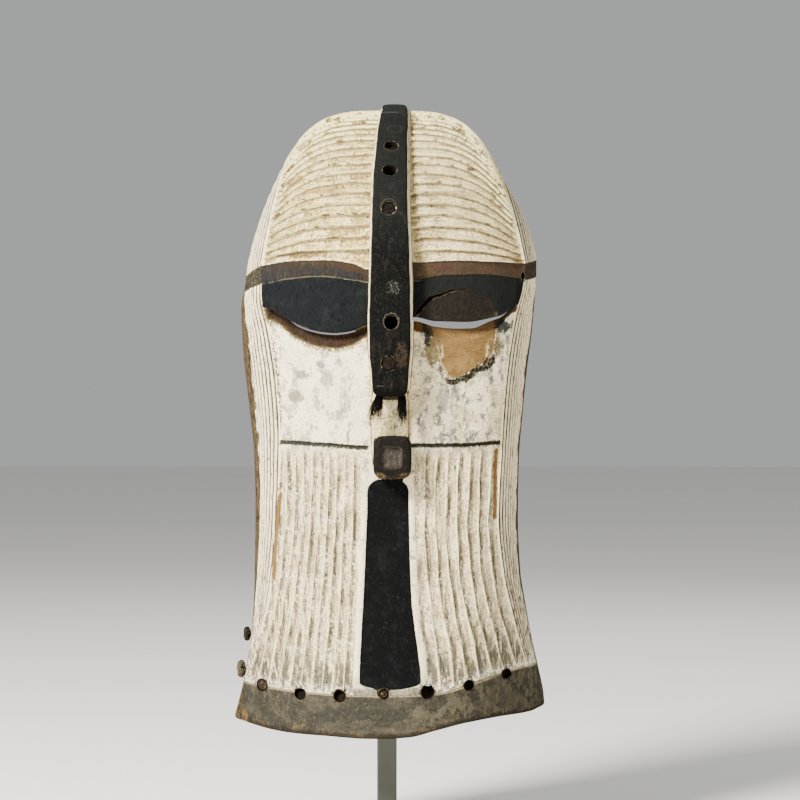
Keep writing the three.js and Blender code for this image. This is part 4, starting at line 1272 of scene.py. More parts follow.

    # Painted highlights on the arrises and along the face's edge, rubbed brown arrises, dirt over
    # the band, specks, scars and the cut line.
    arris_highlight_and_rub = s.most(s.share(ridged, s.ramp(s.phase("ridge", "PINGPONG"), 0.1, 0.06)),
                   s.share(fluted, s.ramp(across, 0.09, 0.04)))
    s.wear(arris_highlight_and_rub, (rubbed, 0.58, 0.52, "fff0b0", 0.95), (rubbed, 0.6, 0.64, "5e4f34", 0.8))
    # Painted highlight: a pale line along the face's edge.
    s.wear(s.about(s.field("side"), 0, 2, 1), (rubbed, 0.6, 0.54, "fff0c0", 0.85))
    to_band = s.field("band")
    low = s.share(s.ramp(to_band, -52, -20), s.scaled(trough, 0.7, 0.3))
    s.wear(low, (streaky, 0.42, 0.52, "5f5a4b", 0.95))
    s.wear(s.ramp(to_band, -12, -2), (grit, 0.52, 0.46, "fff6e0", 0.8))
    speck = s.ramp(s.noise(1.7, 4, (1.1, 1, 1.7), 41, 0.7), 0.6, 0.63)
    s.coat(s.share(speck, s.scaled(carved, 0.8, 0.15)), "241a12", 0.9)
    s.wear(s.scaled(carved, 0.8, 0.1),
           (s.noise(3.6, 5, (1.3, 1, 2.4), 51, 0.74), 0.61, 0.635, "3c2f1f", 0.85))
    beside = s.share(s.ramp(s.ragged(s.field("strip"), 2, 6), -7, -4.5), s.ramp(z, 158, 166))
    s.wear(beside, (rubbed, 0.6, 0.52, "fff0c8", 0.7))
    s.wear(s.about(x, 0, 34, 28), (to_band, -9, -5, "4c463a", 0.75))
    s.coat(s.zone("scar", 0.8, 3), "6f4f27", 0.95)
    line = s.zone("line", 2.6, 2.4, 1.2, 4, (0.7, 1, 1.6))
    s.coat(line, "272925", 0.98)

    # The dark brow band, browner above and on the right, with a painted highlight along its lower
    # edge over the left lid.
    brow = s.share(s.zone("brow", 1.1, 3.2, 0.9, 1), s.ramp(s.field("rim"), 3, 5))
    fibre = s.noise(2.6, 6, (0.6, 1, 5), 71, 0.66)
    s.coat(brow, "2b2825")
    s.wear(brow, (patchy, 0.46, 0.6, "272729", 0.7), (fibre, 0.54, 0.66, "1f1d1b", 0.6))
    top = s.ramp(s.ragged(s.field("crown"), 4, 8, 5), -9, -1)
    s.wear(s.share(brow, top), (x, -135, -60, "382c20", 0.85))
    s.coat(s.share(brow, right), "46382a", 0.75)
    s.wear(brow, (fibre, 0.45, 0.36, "4c4031", 0.5))
    on_wall = s.share(brow, wall)
    s.coat(on_wall, "302e26", 0.7)
    s.wear(on_wall, (grit, 0.5, 0.58, "5a523f", 0.7))
    below_brow = s.share(s.ramp(s.field("crown"), -8, -10), face)
    # Painted highlight: a pale line along the left lid's upper edge, under the brow band.
    left_lid_edge_highlight = s.share(s.span(s.field("brow"), -0.6, 0.0, 0.8, 1.4), below_brow, s.ramp(x, 0, -4))
    s.wear(left_lid_edge_highlight, (patchy, 0.62, 0.5, "5c5640", 0.85))
    for mark in FACE_MARKS:
        s.mark(mark, face)

    # Brown eye sockets, dirt round the left one, and the black lids.
    socket = s.share(s.zone("socket", 2.0, 5, 0.9, 2), face)
    s.coat(socket, "2b231b")
    s.wear(socket, (fibre, 0.46, 0.6, "3f2c21", 0.75), (grit, 0.56, 0.64, "161210", 0.8),
           (s.ragged(s.field("socket"), 2.4, 4), 2.6, 0.3, "5a4c34", 0.75))
    halo = s.share(s.ramp(s.ragged(s.field("socket"), 2.6, 4, 5), -4.5, -1.0), face, left,
                   s.rest(socket), s.ramp(s.field("brow"), -3, -6))
    s.wear(halo, (grit, 0.4, 0.5, "6b5c3a", 0.95))
    between = s.about(s.ragged(s.field("brow"), 1.0, 3), 0, 2.2, 1.2)
    s.coat(s.share(between, right, below_brow), "191a18", 0.95)
    lid = s.share(s.zone("lid", 0.5, 2, 0.6), face)
    s.coat(lid, "121415")
    s.wear(lid, (rubbed, 0.5, 0.62, "1a1c1c", 0.6), (fibre, 0.56, 0.66, "101212", 0.6))
    s.coat(s.share(lid, right), "191a18", 0.8)
    s.wear(lid, (grit, 0.6, 0.68, "272722", 0.4))

    # Bare wood under the right eye, with the dirt round it and smears of paint left on it.
    patch = s.zone("patch", 2.2, 7, 0.9, 6)
    near = s.share(s.ramp(s.ragged(s.field("patch"), 2.5, 5, 5, 8), -6, -3.5), s.rest(patch), face)
    s.wear(near, (grit, 0.42, 0.56, "544a34", 0.8))
    s.coat(patch, "725934")
    grain = s.noise(4, 6, (4.5, 1, 0.5), 18, 0.68)
    s.wear(patch, (grain, 0.46, 0.6, "604a2c", 0.7), (patchy, 0.5, 0.64, "826940", 0.7),
           (grit, 0.58, 0.64, "57452c", 0.6), (s.ragged(z, 5, 12), 470, 480, "58402a", 0.7))
    edge = s.share(patch, s.ramp(s.ragged(s.field("patch"), 2, 4), 2.4, 0.3), s.ramp(z, 470, 464),
                   s.ramp(x, 62, 52))
    s.coat(edge, "d8c488", 0.8)
    inner = s.ramp(s.ragged(s.field("patch"), 6, 9, 5), 8, 4)
    smear = s.share(patch, inner, s.span(z, 446, 452, 466, 472))
    s.wear(smear, (streaky, 0.53, 0.57, "c9bb95", 0.8))

    # Chips along the left edge of the face, marks round the eyes, the crust at the patch.
    open_face = s.share(face, s.rest(lid))
    by_edge = s.about(s.ragged(s.field("side"), 2.6, 4, 5), -2.6, 1.8, 0.9)
    chips = s.share(by_edge, left, open_face, s.span(z, 385, 395, 466, 478))
    s.wear(chips, (grit, 0.44, 0.52, "59482d"))
    for mark in EYE_MARKS:
        s.mark(mark, open_face)
    around = s.about(s.ragged(s.field("patch"), 6.5, 7, 5, 13), -3.2, 3.2, 2.2)
    crust = s.share(around, s.ramp(x, 52, 56), s.ramp(z, 458, 452), face)
    s.coat(crust, "2f2c20", 0.97)
    s.wear(crust, (grit, 0.48, 0.54, "15130d", 0.95), (grit, 0.45, 0.39, "7a7258", 0.8))

    # The brown bed of the flake lost from the right lid, lighter on its broken edge.
    flake = s.share(s.ramp(s.ragged(s.field("flake"), 3.0, 7), -1.5, 1.5), lid)
    s.coat(flake, "1d1a16", 0.9)
    s.wear(flake, (s.noise(9, 5, (1.6, 1, 1), 28, 0.64), 0.53, 0.66, "2d2319", 0.8))
    broken = s.share(s.span(s.field("flake"), -0.4, 0.2, 0.7, 1.2), lid, s.ramp(x, 66, 56))
    s.wear(broken, (rubbed, 0.46, 0.54, "54462f", 0.9))

    # The black chin strip, and the bare, dirty band below with its groove and holes, darkened
    # towards its rounded bottom edge as painted shade.
    strip = s.zone("strip", 0.5, 3, 0.5, 3)
    s.coat(strip, "0a0b0b")
    s.wear(strip, (smears, 0.5, 0.66, "181a1a", 0.7))
    s.coat(s.share(strip, speck), "2c2b27", 0.5)
    band = s.zone("band", 0.6, 3, 0.8, 5)
    s.coat(band, "2d2c26")
    s.wear(band, (s.noise(24, 6, (1.6, 1, 0.7), 45, 0.64), 0.42, 0.66, "4b4538", 0.8),
           (s.noise(7, 6, (1.3, 1, 0.9), 48, 0.74), 0.5, 0.66, "2a2822", 0.7),
           (grit, 0.54, 0.66, "5b533f", 0.6))
    rust = s.scaled(s.ramp(s.field("hem"), 14, 1), 0.1, patchy)
    s.wear(s.share(band, s.ramp(rust, 0.6, 0.7)), (grit, 0.44, 0.52, "5d4b30", 0.75))
    s.wear(s.share(band, right), (smears, 0.48, 0.58, "5b5543", 0.6))
    # Painted shade: the band darkens over its last few mm towards the rounded bottom edge.
    s.wear(band, (s.ragged(s.field("hem"), 4.5, 6, 5), 6, 2, "221d16", 0.85))
    groove = s.about(s.ragged(s.field("band"), 0.5, 5), 0, 1.3, 0.6)
    s.wear(groove, (grit, 0.6, 0.5, "8f8364", 0.85))
    for hole in RIM_HOLES:
        reach = hole.radius + 1.2
        s.mark(Mark(MIDLINE + hole.side.sign * hole.x, hole.z, reach, reach, "1b1814", 0.85), face)
    s.mark(BAND_MARK, s.share(band, s.ramp(grit, 0.6, 0.5)))

    # Bare, fibrous wood along the back rim, wider on the left and below the brow.
    spread = s.scaled(s.ramp(z, 560, 500), 26.0, 10.0)
    torn = s.ragged(s.field("rim"), 7.0, 8, 5, 58, (1, 1, 2))
    reach = s.scaled(right, 13.0, torn)
    rim = s.ramp(s.scaled(spread, -1.0, reach), 1.0, -1.0)
    s.coat(rim, "453a29")
    s.wear(rim, (fibre, 0.5, 0.58, "1d1712", 0.8), (coarse, 0.56, 0.63, "6a5a3c", 0.7))

    # Thick gritty paint that stands over the bare wood, with pits, fibres and grain.
    bare = s.most(patch, band, rim)
    coated = s.rest(s.most(lid, strip, bare))
    s.raise_by(s.noise(0.9, 3, shift=65), 0.16)
    s.raise_by(s.share(coated, s.rest(grit)), 2.6)
    s.raise_by(fibre, 0.6)
    s.raise_by(speck, -0.6)
    s.raise_by(s.most(bare, grey), -0.35)
    s.raise_by(line, -0.4)
    s.raise_by(s.share(crust, grit), 2.0)
    s.raise_by(s.share(bare, grain), 1.0)
    return s.finish(specular=0.02)


def crest_paint() -> Material:
    """Black paint on the crest and nose, greyed above and rubbed brown below, with cream flanks."""
    s = Surface("black_crest_paint", "f6e6bd", 0.85)
    s.coat(s.ramp(s.noise(4, 6, (1, 1, 3), 2, 0.66), 0.52, 0.62), "8a744a", 0.7)
    edge, height = s.field("edge"), s.along("Z")
    for middle, wide in ((-3.9, 0.5), (-6.4, 0.9)):
        s.coat(s.about(edge, middle, wide, wide * 0.6), "4f4230", 0.85)
    worn = s.noise(5, 6, (1, 1, 2), 4, 0.72)
    black = s.ramp(s.torn(edge, worn, 3.0), -0.3, 0.3)
    s.coat(black, "070807")
    s.wear(black, (s.ragged(height, 30, 40), 530, 610, "121412", 0.85))
    grey = s.share(black, s.ramp(worn, 0.52, 0.64))
    s.wear(grey, (height, 500, 560, "1b1b18", 0.7))
    low = s.share(black, s.ramp(height, 560, 440))
    s.wear(low, (s.noise(8, 6, (0.8, 1, 2), 6, 0.68), 0.5, 0.63, "1c1611", 0.7))
    by_edge = s.share(black, s.ramp(edge, 1.8, 0.2))
    s.wear(by_edge, (s.noise(5, 5, (1, 1, 3), 8, 0.68), 0.5, 0.6, "33281c", 0.75))
    gritty = s.noise(1.3, 6, (1, 1, 1.6), 12, 0.8)
    for mark in CREST_MARKS:
        s.mark(mark, black)
    s.mark(CREST_RUB, s.share(black, s.ramp(gritty, 0.42, 0.54)))
    # Painted glints: tiny light specks over the black, standing in for the gloss of gritty paint.
    s.wear(black, (gritty, 0.56, 0.62, "2a2a25", 0.75))
    s.mark(CREST_GREY, s.share(black, s.ramp(gritty, 0.5, 0.57)))
    back = FACE_Y + RIM_DEPTH
    s.coat(s.ramp(s.along("Y"), back - 1.0, back - 0.4), "6a5940")
    s.coat(s.ramp(height, 423, 419), "0b0b0a")
    s.raise_by(s.noise(1.1, 4, shift=5, rough=0.7), 0.5)
    s.raise_by(s.noise(4, 5, (0.6, 1, 4), 7, 0.66), 0.8)
    return s.finish(specular=0.035)


def mouth_paint() -> Material:
    """Dark brown-black paint on the block mouth, worn to brown on its rim and lower corners."""
    s = Surface("mouth_paint", "0e0c0a", 0.8)
    s.coat(s.ramp(s.noise(5, 6, shift=3, rough=0.7), 0.5, 0.62), "191410", 0.8)
    corner = s.about(s.along("X"), MOUTH_X, 4, 12)
    height = s.scaled(corner, -4.0, s.ragged(s.along("Z"), 3, 6))
    lower = s.ramp(height, 347, 343)
    s.coat(lower, "2e2419", 0.85)
    s.wear(lower, (s.noise(3, 6, shift=31, rough=0.72), 0.5, 0.56, "5a4a32", 0.8))
    s.wear(s.ramp(s.field("wear"), 0.35, 0.8),
           (s.noise(5, 5, shift=5, rough=0.7), 0.5, 0.62, "1e1813", 0.7))
    s.coat(s.ramp(s.noise(1.7, 5, shift=8, rough=0.7), 0.6, 0.66), "3f3122", 0.6)
    s.raise_by(s.noise(1.2, 3), 0.2)
    s.raise_by(s.noise(4, 5, shift=9, rough=0.68), 1.0)
    return s.finish(specular=0.05)


def recess_paint() -> Material:
    """Grey-brown worn floor of the mouth, reddish towards its lower edge."""
    s = Surface("mouth_recess", "2b2822", 0.88)
    s.coat(s.ramp(s.noise(3, 6, shift=2, rough=0.72), 0.46, 0.58), "403d34", 0.8)
    s.coat(s.ramp(s.ragged(s.along("Z"), 3, 4), 356, 352), "231512", 0.8)
    s.coat(s.ramp(s.noise(2.2, 6, shift=7, rough=0.7), 0.55, 0.61), "15110f", 0.85)
    s.raise_by(s.noise(2.5, 5, rough=0.7), 1.0)
    return s.finish(specular=0.05)


def plain_wood(name: str, colour: str, dark: str, light: str, grain: tuple, size: float,
               roughness: float = 0.85) -> Material:
    """Bare dry wood: a grain drawn out along one way, dark pores and lighter rubbed places."""
    s = Surface(name, colour, roughness)
    lines = s.noise(size, 6, grain, 4, 0.62)
    s.coat(s.ramp(lines, 0.45, 0.62), dark, 0.7)
    s.coat(s.ramp(s.noise(size * 3, 4, grain, 9), 0.5, 0.68), light, 0.6)
    s.raise_by(lines, 0.7)
    s.raise_by(s.noise(size / 5, 3), 0.15)
    return s.finish(specular=0.04)


def stiff_hair() -> Material:
    """Stiff black hair with a dry brown tinge and a soft shine along the strands."""
    s = Surface("stiff_hair", "070606", 0.8)
    s.coat(s.ramp(s.noise(2.5, 3, (0.4, 1, 5)), 0.55, 0.75), "17120f", 0.7)
    return s.finish(specular=0.05)


def plant_fibre(name: str, colour: str, dark: str) -> Material:
    """Dry twisted plant fibre, greyed and dusty, dark between the strands."""
    s = Surface(name, colour, 0.95)
    s.coat(s.ramp(s.noise(1.6, 5, shift=2, rough=0.65), 0.48, 0.6), dark, 0.8)
    s.coat(s.ramp(s.noise(3, 4, shift=5), 0.56, 0.62), "5a4930", 0.85)
    s.raise_by(s.noise(0.8, 4), 0.5)
    return s.finish(specular=0.15)


def steel_paint() -> Material:
    """Satin olive-grey paint on the steel stand, with a fine orange peel and a few rubs."""
    s = Surface("satin_olive_paint", "434439", 0.45)
    s.coat(s.ramp(s.noise(40, 4, (1, 1, 2)), 0.45, 0.65), "44453b", 0.6)
    s.coat(s.ramp(s.noise(3, 5, (1, 1, 3), 7, 0.7), 0.66, 0.72), "5f5f54", 0.4)
    s.gloss(s.ramp(s.noise(14, 4, shift=3), 0.5, 0.65), 0.52)
    s.raise_by(s.noise(0.8, 2), 0.06)
    return s.finish()


def dense_felt() -> Material:
    """Dense dark grey felt, matt and slightly hairy, with paler fibres pressed into it."""
    s = Surface("dense_felt", "3a3a37", 0.97)
    s.coat(s.ramp(s.noise(0.9, 5, (3, 1, 1), 2, 0.7), 0.55, 0.66), "55544e", 0.7)
    s.coat(s.ramp(s.noise(0.8, 5, (1, 1, 3), 6, 0.7), 0.57, 0.66), "2a2a28", 0.7)
    s.raise_by(s.noise(0.7, 4), 0.45)
    return s.finish(sheen=0.35)


def studio_floor() -> Material:
    """Plain pale matt studio floor."""
    s = Surface("studio_floor", "f2f1ee", 0.95)
    s.coat(s.ramp(s.noise(900, 2), 0.3, 0.7), "efeeeb", 0.6)
    return s.finish()


# The pieces.

@dataclass(frozen=True)
class Finishes:
    """Every material of the scene, made once."""

    skin: Material
    crest: Material
    mouth: Material
    recess: Material
    inside: Material
    bored: Material
    peg: Material
    hair: Material
    fibre: Material
    dark_fibre: Material
    steel: Material
    felt: Material
    floor: Material

    @classmethod
    def mix(cls) -> "Finishes":
        """Mixes them all."""
        return cls(
            skin=earth_paint(), crest=crest_paint(), mouth=mouth_paint(), recess=recess_paint(),
            inside=plain_wood("adzed_wood", "6a5940", "42362a", "867558", (1, 1, 7), 2.4),
            # Near-black walls of the holes, slits, crack and slot: dirt, and painted shade in the
            # bores.
            bored=plain_wood("bored_wood_dirt_and_shade", "15110d", "0b0908", "221a12", (1, 4, 1), 4, 0.95),
            peg=plain_wood("broken_peg_wood", "16120e", "080706", "2b2218", (1, 4, 1), 2.2),
            hair=stiff_hair(), fibre=plant_fibre("dry_plant_fibre", "514a38", "231d15"),
            dark_fibre=plant_fibre("dark_plant_fibre", "241b12", "090706"),
            steel=steel_paint(), felt=dense_felt(), floor=studio_floor())


@dataclass(frozen=True)
class Hole:
    """A round hole: its place on the crest or rim, its radius and depth, and what fills it."""

    radius: float
    depth: float
    side: Half = RIGHT
    s: float = 0.0
    x: float = 0.0
    z: float | None = None
    peg: str | None = None

    def frame(self) -> tuple[Points, Points, Points, Points]:
        """Mouth, way in, and the two directions across."""
        if self.z is None:
            out = outward(RIGHT, 0.0, self.s) * (0, 1, 1)
            out = out / np.linalg.norm(out)
            mouth = skin(RIGHT, 0.0, self.s) + out * (CREST_HEIGHT(self.s) + 0.6) + (self.x, 0, 0)
            return mouth, -out, np.array([1.0, 0, 0]), np.cross(-out, (1, 0, 0))

        def mouth_at(dx: float, dz: float) -> Points:
            """The skin beside the mouth, by an offset outwards and up."""
            x, z = self.x + self.side.sign * dx, self.z + dz
            return skin(self.side, x / float(self.side.edge(z)), z - BROW_Z)

        mouth = mouth_at(0, 0)
        across = (mouth_at(2, 0) - mouth_at(-2, 0)) / 4
        upward = (mouth_at(0, 2) - mouth_at(0, -2)) / 4
        return mouth, np.array([0, 1.0, 0]), across, upward * (0, 1, 1)


RIM_HOLE_RISE = 0.8
CREST_HOLES = (
    Hole(6.1, 7, s=112, x=1), Hole(6.3, 14, s=82, x=-0.4),
    Hole(6.3, 9, s=44, x=-1.2, peg="crest_peg_upper"), Hole(6.1, 16, s=-55, x=1),
    Hole(6.6, 10, s=-91, x=-1.3, peg="crest_peg_lower"),
)
RIM_HOLES = (
    Hole(5.6, 34, LEFT, x=119, z=150, peg="rim_peg_left"), Hole(5.2, 34, LEFT, x=82, z=147),
    Hole(5.4, 34, LEFT, x=45.5, z=147.5),
    Hole(4.4, 34, LEFT, x=5.4, z=150, peg="rim_peg_middle"),
    Hole(6.2, 34, RIGHT, x=34, z=151.5), Hole(4.6, 34, RIGHT, x=71.5, z=155.5),
    Hole(4.4, 34, RIGHT, x=107, z=162.5),
)
MOUTH_X = 5.3
MOUTH_Z = 363.0
MOUTH_WIDE = 34.0
MOUTH_HIGH = 38.0
MOUTH_FRONT = -16.0
MOUTH_RECESS = 4.0


@dataclass
class Mask:
    """The carved mask: skin, crest, lip and mouth joined, with its holes and sight slits cut."""

    finishes: Finishes
    skin: CarvedSkin = field(default_factory=CarvedSkin)

    def crest(self) -> Piece:
        """The crest, from the back rim over the crown and down into the nose."""
        stations = [NOSE_END, -119.7, -119.2, -118.4, -117.4, -116, -114.2, -112]
        stations += list(np.arange(-109.5, CROWN_ARC - 1, 2.6)) + [CROWN_ARC]
        rings, border = [], []
        for s in stations:
            base = skin(RIGHT, 0.0, s)
            out = outward(RIGHT, 0.0, s) * (0, 1, 1)
            out = out / np.linalg.norm(out)
            if s >= CROWN_ARC:
                out = np.array([0, 0, 1.0])
            half = float(CREST_HALF(s)) + 0.3 * float(wander(2.0, s, 45))
            high = float(CREST_HEIGHT(s)) + 0.25 * float(wander(7.0, s, 38))
            if s < -112:
                high -= 2.2 * (1 - math.sqrt(max(0.0, 1 - ((-112 - s) / 8.2) ** 2)))
            grown = min(max((s - NOSE_END) / 6, 0.1), 1)
            shift = float(CREST_SHIFT(s)) + 0.25 * float(wander(4.0, s, 60))
            bead = 1.7 + 1.5 * float(smooth(20, -40, s))
            line = [(half + 3.1 * grown, -6.0, -high - 5), (half + 3.0 * grown, -0.5, -9),
                    (half + 2.9 * grown, bead - 1.1, -7), (half + 2.4 * grown, bead - 0.3, -6),
                    (half + 1.7 * grown, bead, -5), (half + 1.0 * grown, bead - 0.1, -4),
                    (half + 0.5 * grown, bead + 0.5, -3), (half + 0.3, high * 0.5 + 0.8, -0.6),
                    (half + 0.1, high - 2.4, 0.5), (half, high - 1.6, 0.8),
                    (half - 0.35, high - 0.9, 1.0), (half - 1.0, high - 0.35, 1.4),
                    (half - 2.2, high - 0.05, 2.4), (half * 0.62, high + 0.3, 5),
                    (half * 0.32, high + 0.5, 8), (0.0, high + 0.55, 10)]
            both = [(-min(x, half) - 0.55 * max(x - half, 0.0), h, e) for x, h, e in line]
            both += [(x, h, e) for x, h, e in line[-2::-1]]
            rings.append(np.array([base + out * h + (x + shift, 0, 0) for x, h, _ in both]))
            border += [e for _, _, e in both]
        return loft("crest", rings, {"edge": np.array(border)}, self.finishes.crest)

    def lip(self) -> Piece:
        """The plain raised lip between the nose and the mouth."""
        rings = []
        for z, half, front in ((348, 13, 1), (352, 14, 2.4), (362, 14.6, 4), (372, 15, 5),
                               (383, 15.4, 6.1), (395, 15.5, 7), (408, 15.2, 7.6), (420, 14.4, 8),
                               (429, 14, 8)):
            y = FACE_Y + float(MIDDLE_DEPTH(z)) - front
            right = [(half + 3.2, FACE_Y + 14), (half + 2.0, y + front + 1.5),
                     (half + 0.7, y + 3.2), (half - 0.4, y + 1.6), (half - 2.2, y + 0.5),
                     (half - 5, y), (half * 0.3, y - 0.2)]
            both = [(-x, d) for x, d in right] + right[::-1]
            rings.append(np.array([(MIDLINE + x, d, z) for x, d in both]))
        fields = {"side": -20.0, "rim": 90.0} | dict.fromkeys(ZONES, OUTSIDE)
        count = len(rings) * len(rings[0])
        return loft("lip", rings, {key: np.full(count, value) for key, value in fields.items()},
                    self.finishes.skin)

    def mouth(self) -> Piece:
        """The block mouth with its rounded rim."""
        rings, wear = [], []
        front = FACE_Y + MOUTH_FRONT
        for y, inset, bare in ((34, 0.2, 0), (12, 0.3, 0), (5, 0.1, 0), (2.6, 0.2, 0.2),
                               (1.2, 0.9, 0.7), (0.4, 1.9, 1.0), (0.0, 3.2, 0.6), (-0.2, 5.0, 0.0)):
            outline = rounded(MOUTH_WIDE - 2 * inset, MOUTH_HIGH - 2 * inset, 8.0 - inset * 0.5,
                              7, 0.4)
            wobble = 0.25 * wander(3.0, np.arange(len(outline)) * 4.0, 30)
            rings.append(np.array([(MOUTH_X + x, front + y + w, MOUTH_Z + z)
                                   for (x, z), w in zip(outline, wobble)]))
            wear += [bare] * len(outline)
        return loft("mouth", rings, {"wear": np.array(wear)}, self.finishes.mouth)

    def recess(self) -> Piece:
        """The shallow square recess of the mouth."""
        rings = []
        for y, extra in ((-6, 1.5), (0.2, 0.7), (1.2, 0.1), (MOUTH_RECESS - 0.7, -0.5),
                         (MOUTH_RECESS, -1.6)):
            outline = rounded(18.4 + 2 * extra, 19.4 + 2 * extra, 4 + extra * 0.5, 6, 0.2)
            rings.append(np.array([(MOUTH_X - 1 + x, FACE_Y + MOUTH_FRONT + y, MOUTH_Z + z)
                                   for x, z in outline]))
        return loft("recess", rings, None, self.finishes.recess)

    def cutters(self, hole: Hole, number: int) -> list[Piece]:
        """The solids that bore one hole, worn open at its mouth. Rim holes slant up behind it."""
        mouth, way, across, upward = hole.frame()
        r, name, bored = hole.radius, f"hole_{number}", self.finishes.bored
        if hole.z is None:
            stations = [(-5.0, r + 0.3), (-0.2, r + 0.25), (0.9, r), (2.2, r - 0.1),
                        (hole.depth * 0.7, r - 0.15), (hole.depth, r - 0.3)]
            return [bore(name, mouth, way, across, upward, stations, bored, number * 1.3)]
        stations = [(-8.0, r + 0.3), (-0.2, r + 0.3), (1.0, r), (5.5, r - 0.2),
                    (9.0 if hole.peg else 7.5, r - 0.6)]
        slanting = [(4.5, r - 1.4), (hole.depth, r - 1.0)]
        return [bore(name, mouth, way, across, upward, stations, bored, number * 1.3),
                bore(f"{name}_way", mouth - (0, 0, 2), (0, 1, RIM_HOLE_RISE), across, upward,
                     slanting, bored, number * 1.7)]

    def through_cut(self, name: str, upper: Points, lower: Points, depth: float | None) -> Piece:
        """A solid that cuts straight back between two lines on the face.

        Args:
            name: the object's name.
            upper: points of the upper line, mm.
            lower: as many points of the lower line.
            depth: how far it goes behind the lines, or None for right through the wall.

        Returns:
            The closed solid.
        """
        outline = np.concatenate([upper, lower[::-1]])
        front, back = outline.copy(), outline.copy()
        front[:, 1] = FACE_Y - 25
        back[:, 1] = FACE_Y + 75 if depth is None else back[:, 1] + depth
        count = len(outline)
        faces = [(k, (k + 1) % count, count + (k + 1) % count, count + k) for k in range(count)]
        for a in range(count // 2 - 1):
            b = count - 1 - a
            faces.append((a, b, b - 1, a + 1))
            faces.append((count + a, count + a + 1, count + b - 1, count + b))
        made = clean(mesh_object(name, np.concatenate([front, back]), faces), 0.001)
        made.data.materials.append(self.finishes.bored)
        return made

    def slit(self, side: Half, start: float, end: float, depth: float | None) -> Piece:
        """A stretch of the sight slit under a lid, cut through the wall or only as a groove."""
        columns = np.linspace(start, end, 60)
        upper = skin(side, columns, side.line(side.lid_low, columns) + 0.1)
        lower = skin(side, columns, side.line(side.slit_low, columns) - 0.1)
        closing = smooth(end, end - 0.06, columns)[:, None]
        lower = upper + (lower - upper) * (0.15 + 0.85 * closing)
        return self.through_cut(f"slit_{side.sign}_{start}", upper, lower, depth)

    def crack(self) -> Piece:
        """The open crack in the right lid, over the broken flake."""
        line = np.array([(26, 490.6, 0.4), (28.5, 494, 1.8), (33.8, 500.3, 2.2), (39.2, 506, 1.9),
                         (43, 508, 1.2), (48.2, 509.4, 1.0), (52, 511, 0.6), (56.3, 512.8, 0.7),
                         (62.6, 514.2, 0.45), (68, 515, 0.3), (73.4, 515.6, 0.1)])
        along = np.interp(np.linspace(0, 1, 40), np.linspace(0, 1, len(line)), np.arange(len(line)))
        x, z, half = (np.interp(along, np.arange(len(line)), c) for c in line.T)
        half = half * (1 + 0.25 * wander(5.0, x, 6)) + 0.05
        face = skin(RIGHT, (x - MIDLINE) / 118.0, z - BROW_Z)
        upper = np.stack([x - half * 0.5, face[:, 1], z + half * 0.8], 1)
        lower = np.stack([x + half * 0.5, face[:, 1], z - half * 0.8], 1)
        return self.through_cut("lid_crack", upper, lower, 3.0)

    def brow_slot(self) -> Piece:
        """The small slot at the right end of the brow band."""
        face = skin(RIGHT, 1.0, -12.0)
        return bore("brow_slot", face - (2, 0, 0), (0, 1, 0), (1.4, 0, 0), (0, 0, 3.4),
                    [(-8, 1.1), (0, 1.05), (6, 0.9)], self.finishes.bored, 2.0, 0.08, 20)

    def build(self, carving: Tree) -> Piece:
        """Carves the skin, joins the crest, lip and mouth, and cuts every hole.

        Args:
            carving: the Geometry Nodes tree of the repeated tool marks.

        Returns:
            The finished mask.
        """
        body = clean(self.skin.build(), 0.004)
        run_nodes(body, carving, {
            "Ridge depth": self.skin.ridge_depth, "Flute depth": self.skin.flute_depth,
            "Rib depth": self.skin.rib_depth, "Hand": 0.3, "Seed": 3,
            "Material": self.finishes.skin})
        body.name = body.data.name = "mask_carving"
        self.dress_inside(body)
        for added in (self.lip(), self.crest(), self.mouth()):
            combine(body, added, "UNION")
        combine(body, self.recess(), "DIFFERENCE")
        for number, hole in enumerate(CREST_HOLES + RIM_HOLES):
            for tool in self.cutters(hole, number):
                combine(body, tool, "DIFFERENCE")
        # The outer end of the left slit is only a groove, lined in near-black bore wood as a
        # painted shadow under the lid.
        for tool in (self.slit(LEFT, 0.28, 0.8, None), self.slit(LEFT, 0.7, 0.94, 9.0),
                     self.slit(RIGHT, 0.17, 0.93, None), self.crack(), self.brow_slot()):
            combine(body, tool, "DIFFERENCE")
        shade(body, 38)
        return body

    def dress_inside(self, body: Piece) -> None:
        """Gives the hollow and the flat back rim bare adzed wood."""
        mesh = body.data
        mesh.materials.append(self.finishes.inside)
        inside = np.zeros(len(mesh.vertices), np.float32)
        mesh.attributes["inside"].data.foreach_get("value", inside)
        for polygon in mesh.polygons:
            if max(inside[v] for v in polygon.vertices) > 0.5:
                polygon.material_index = 1


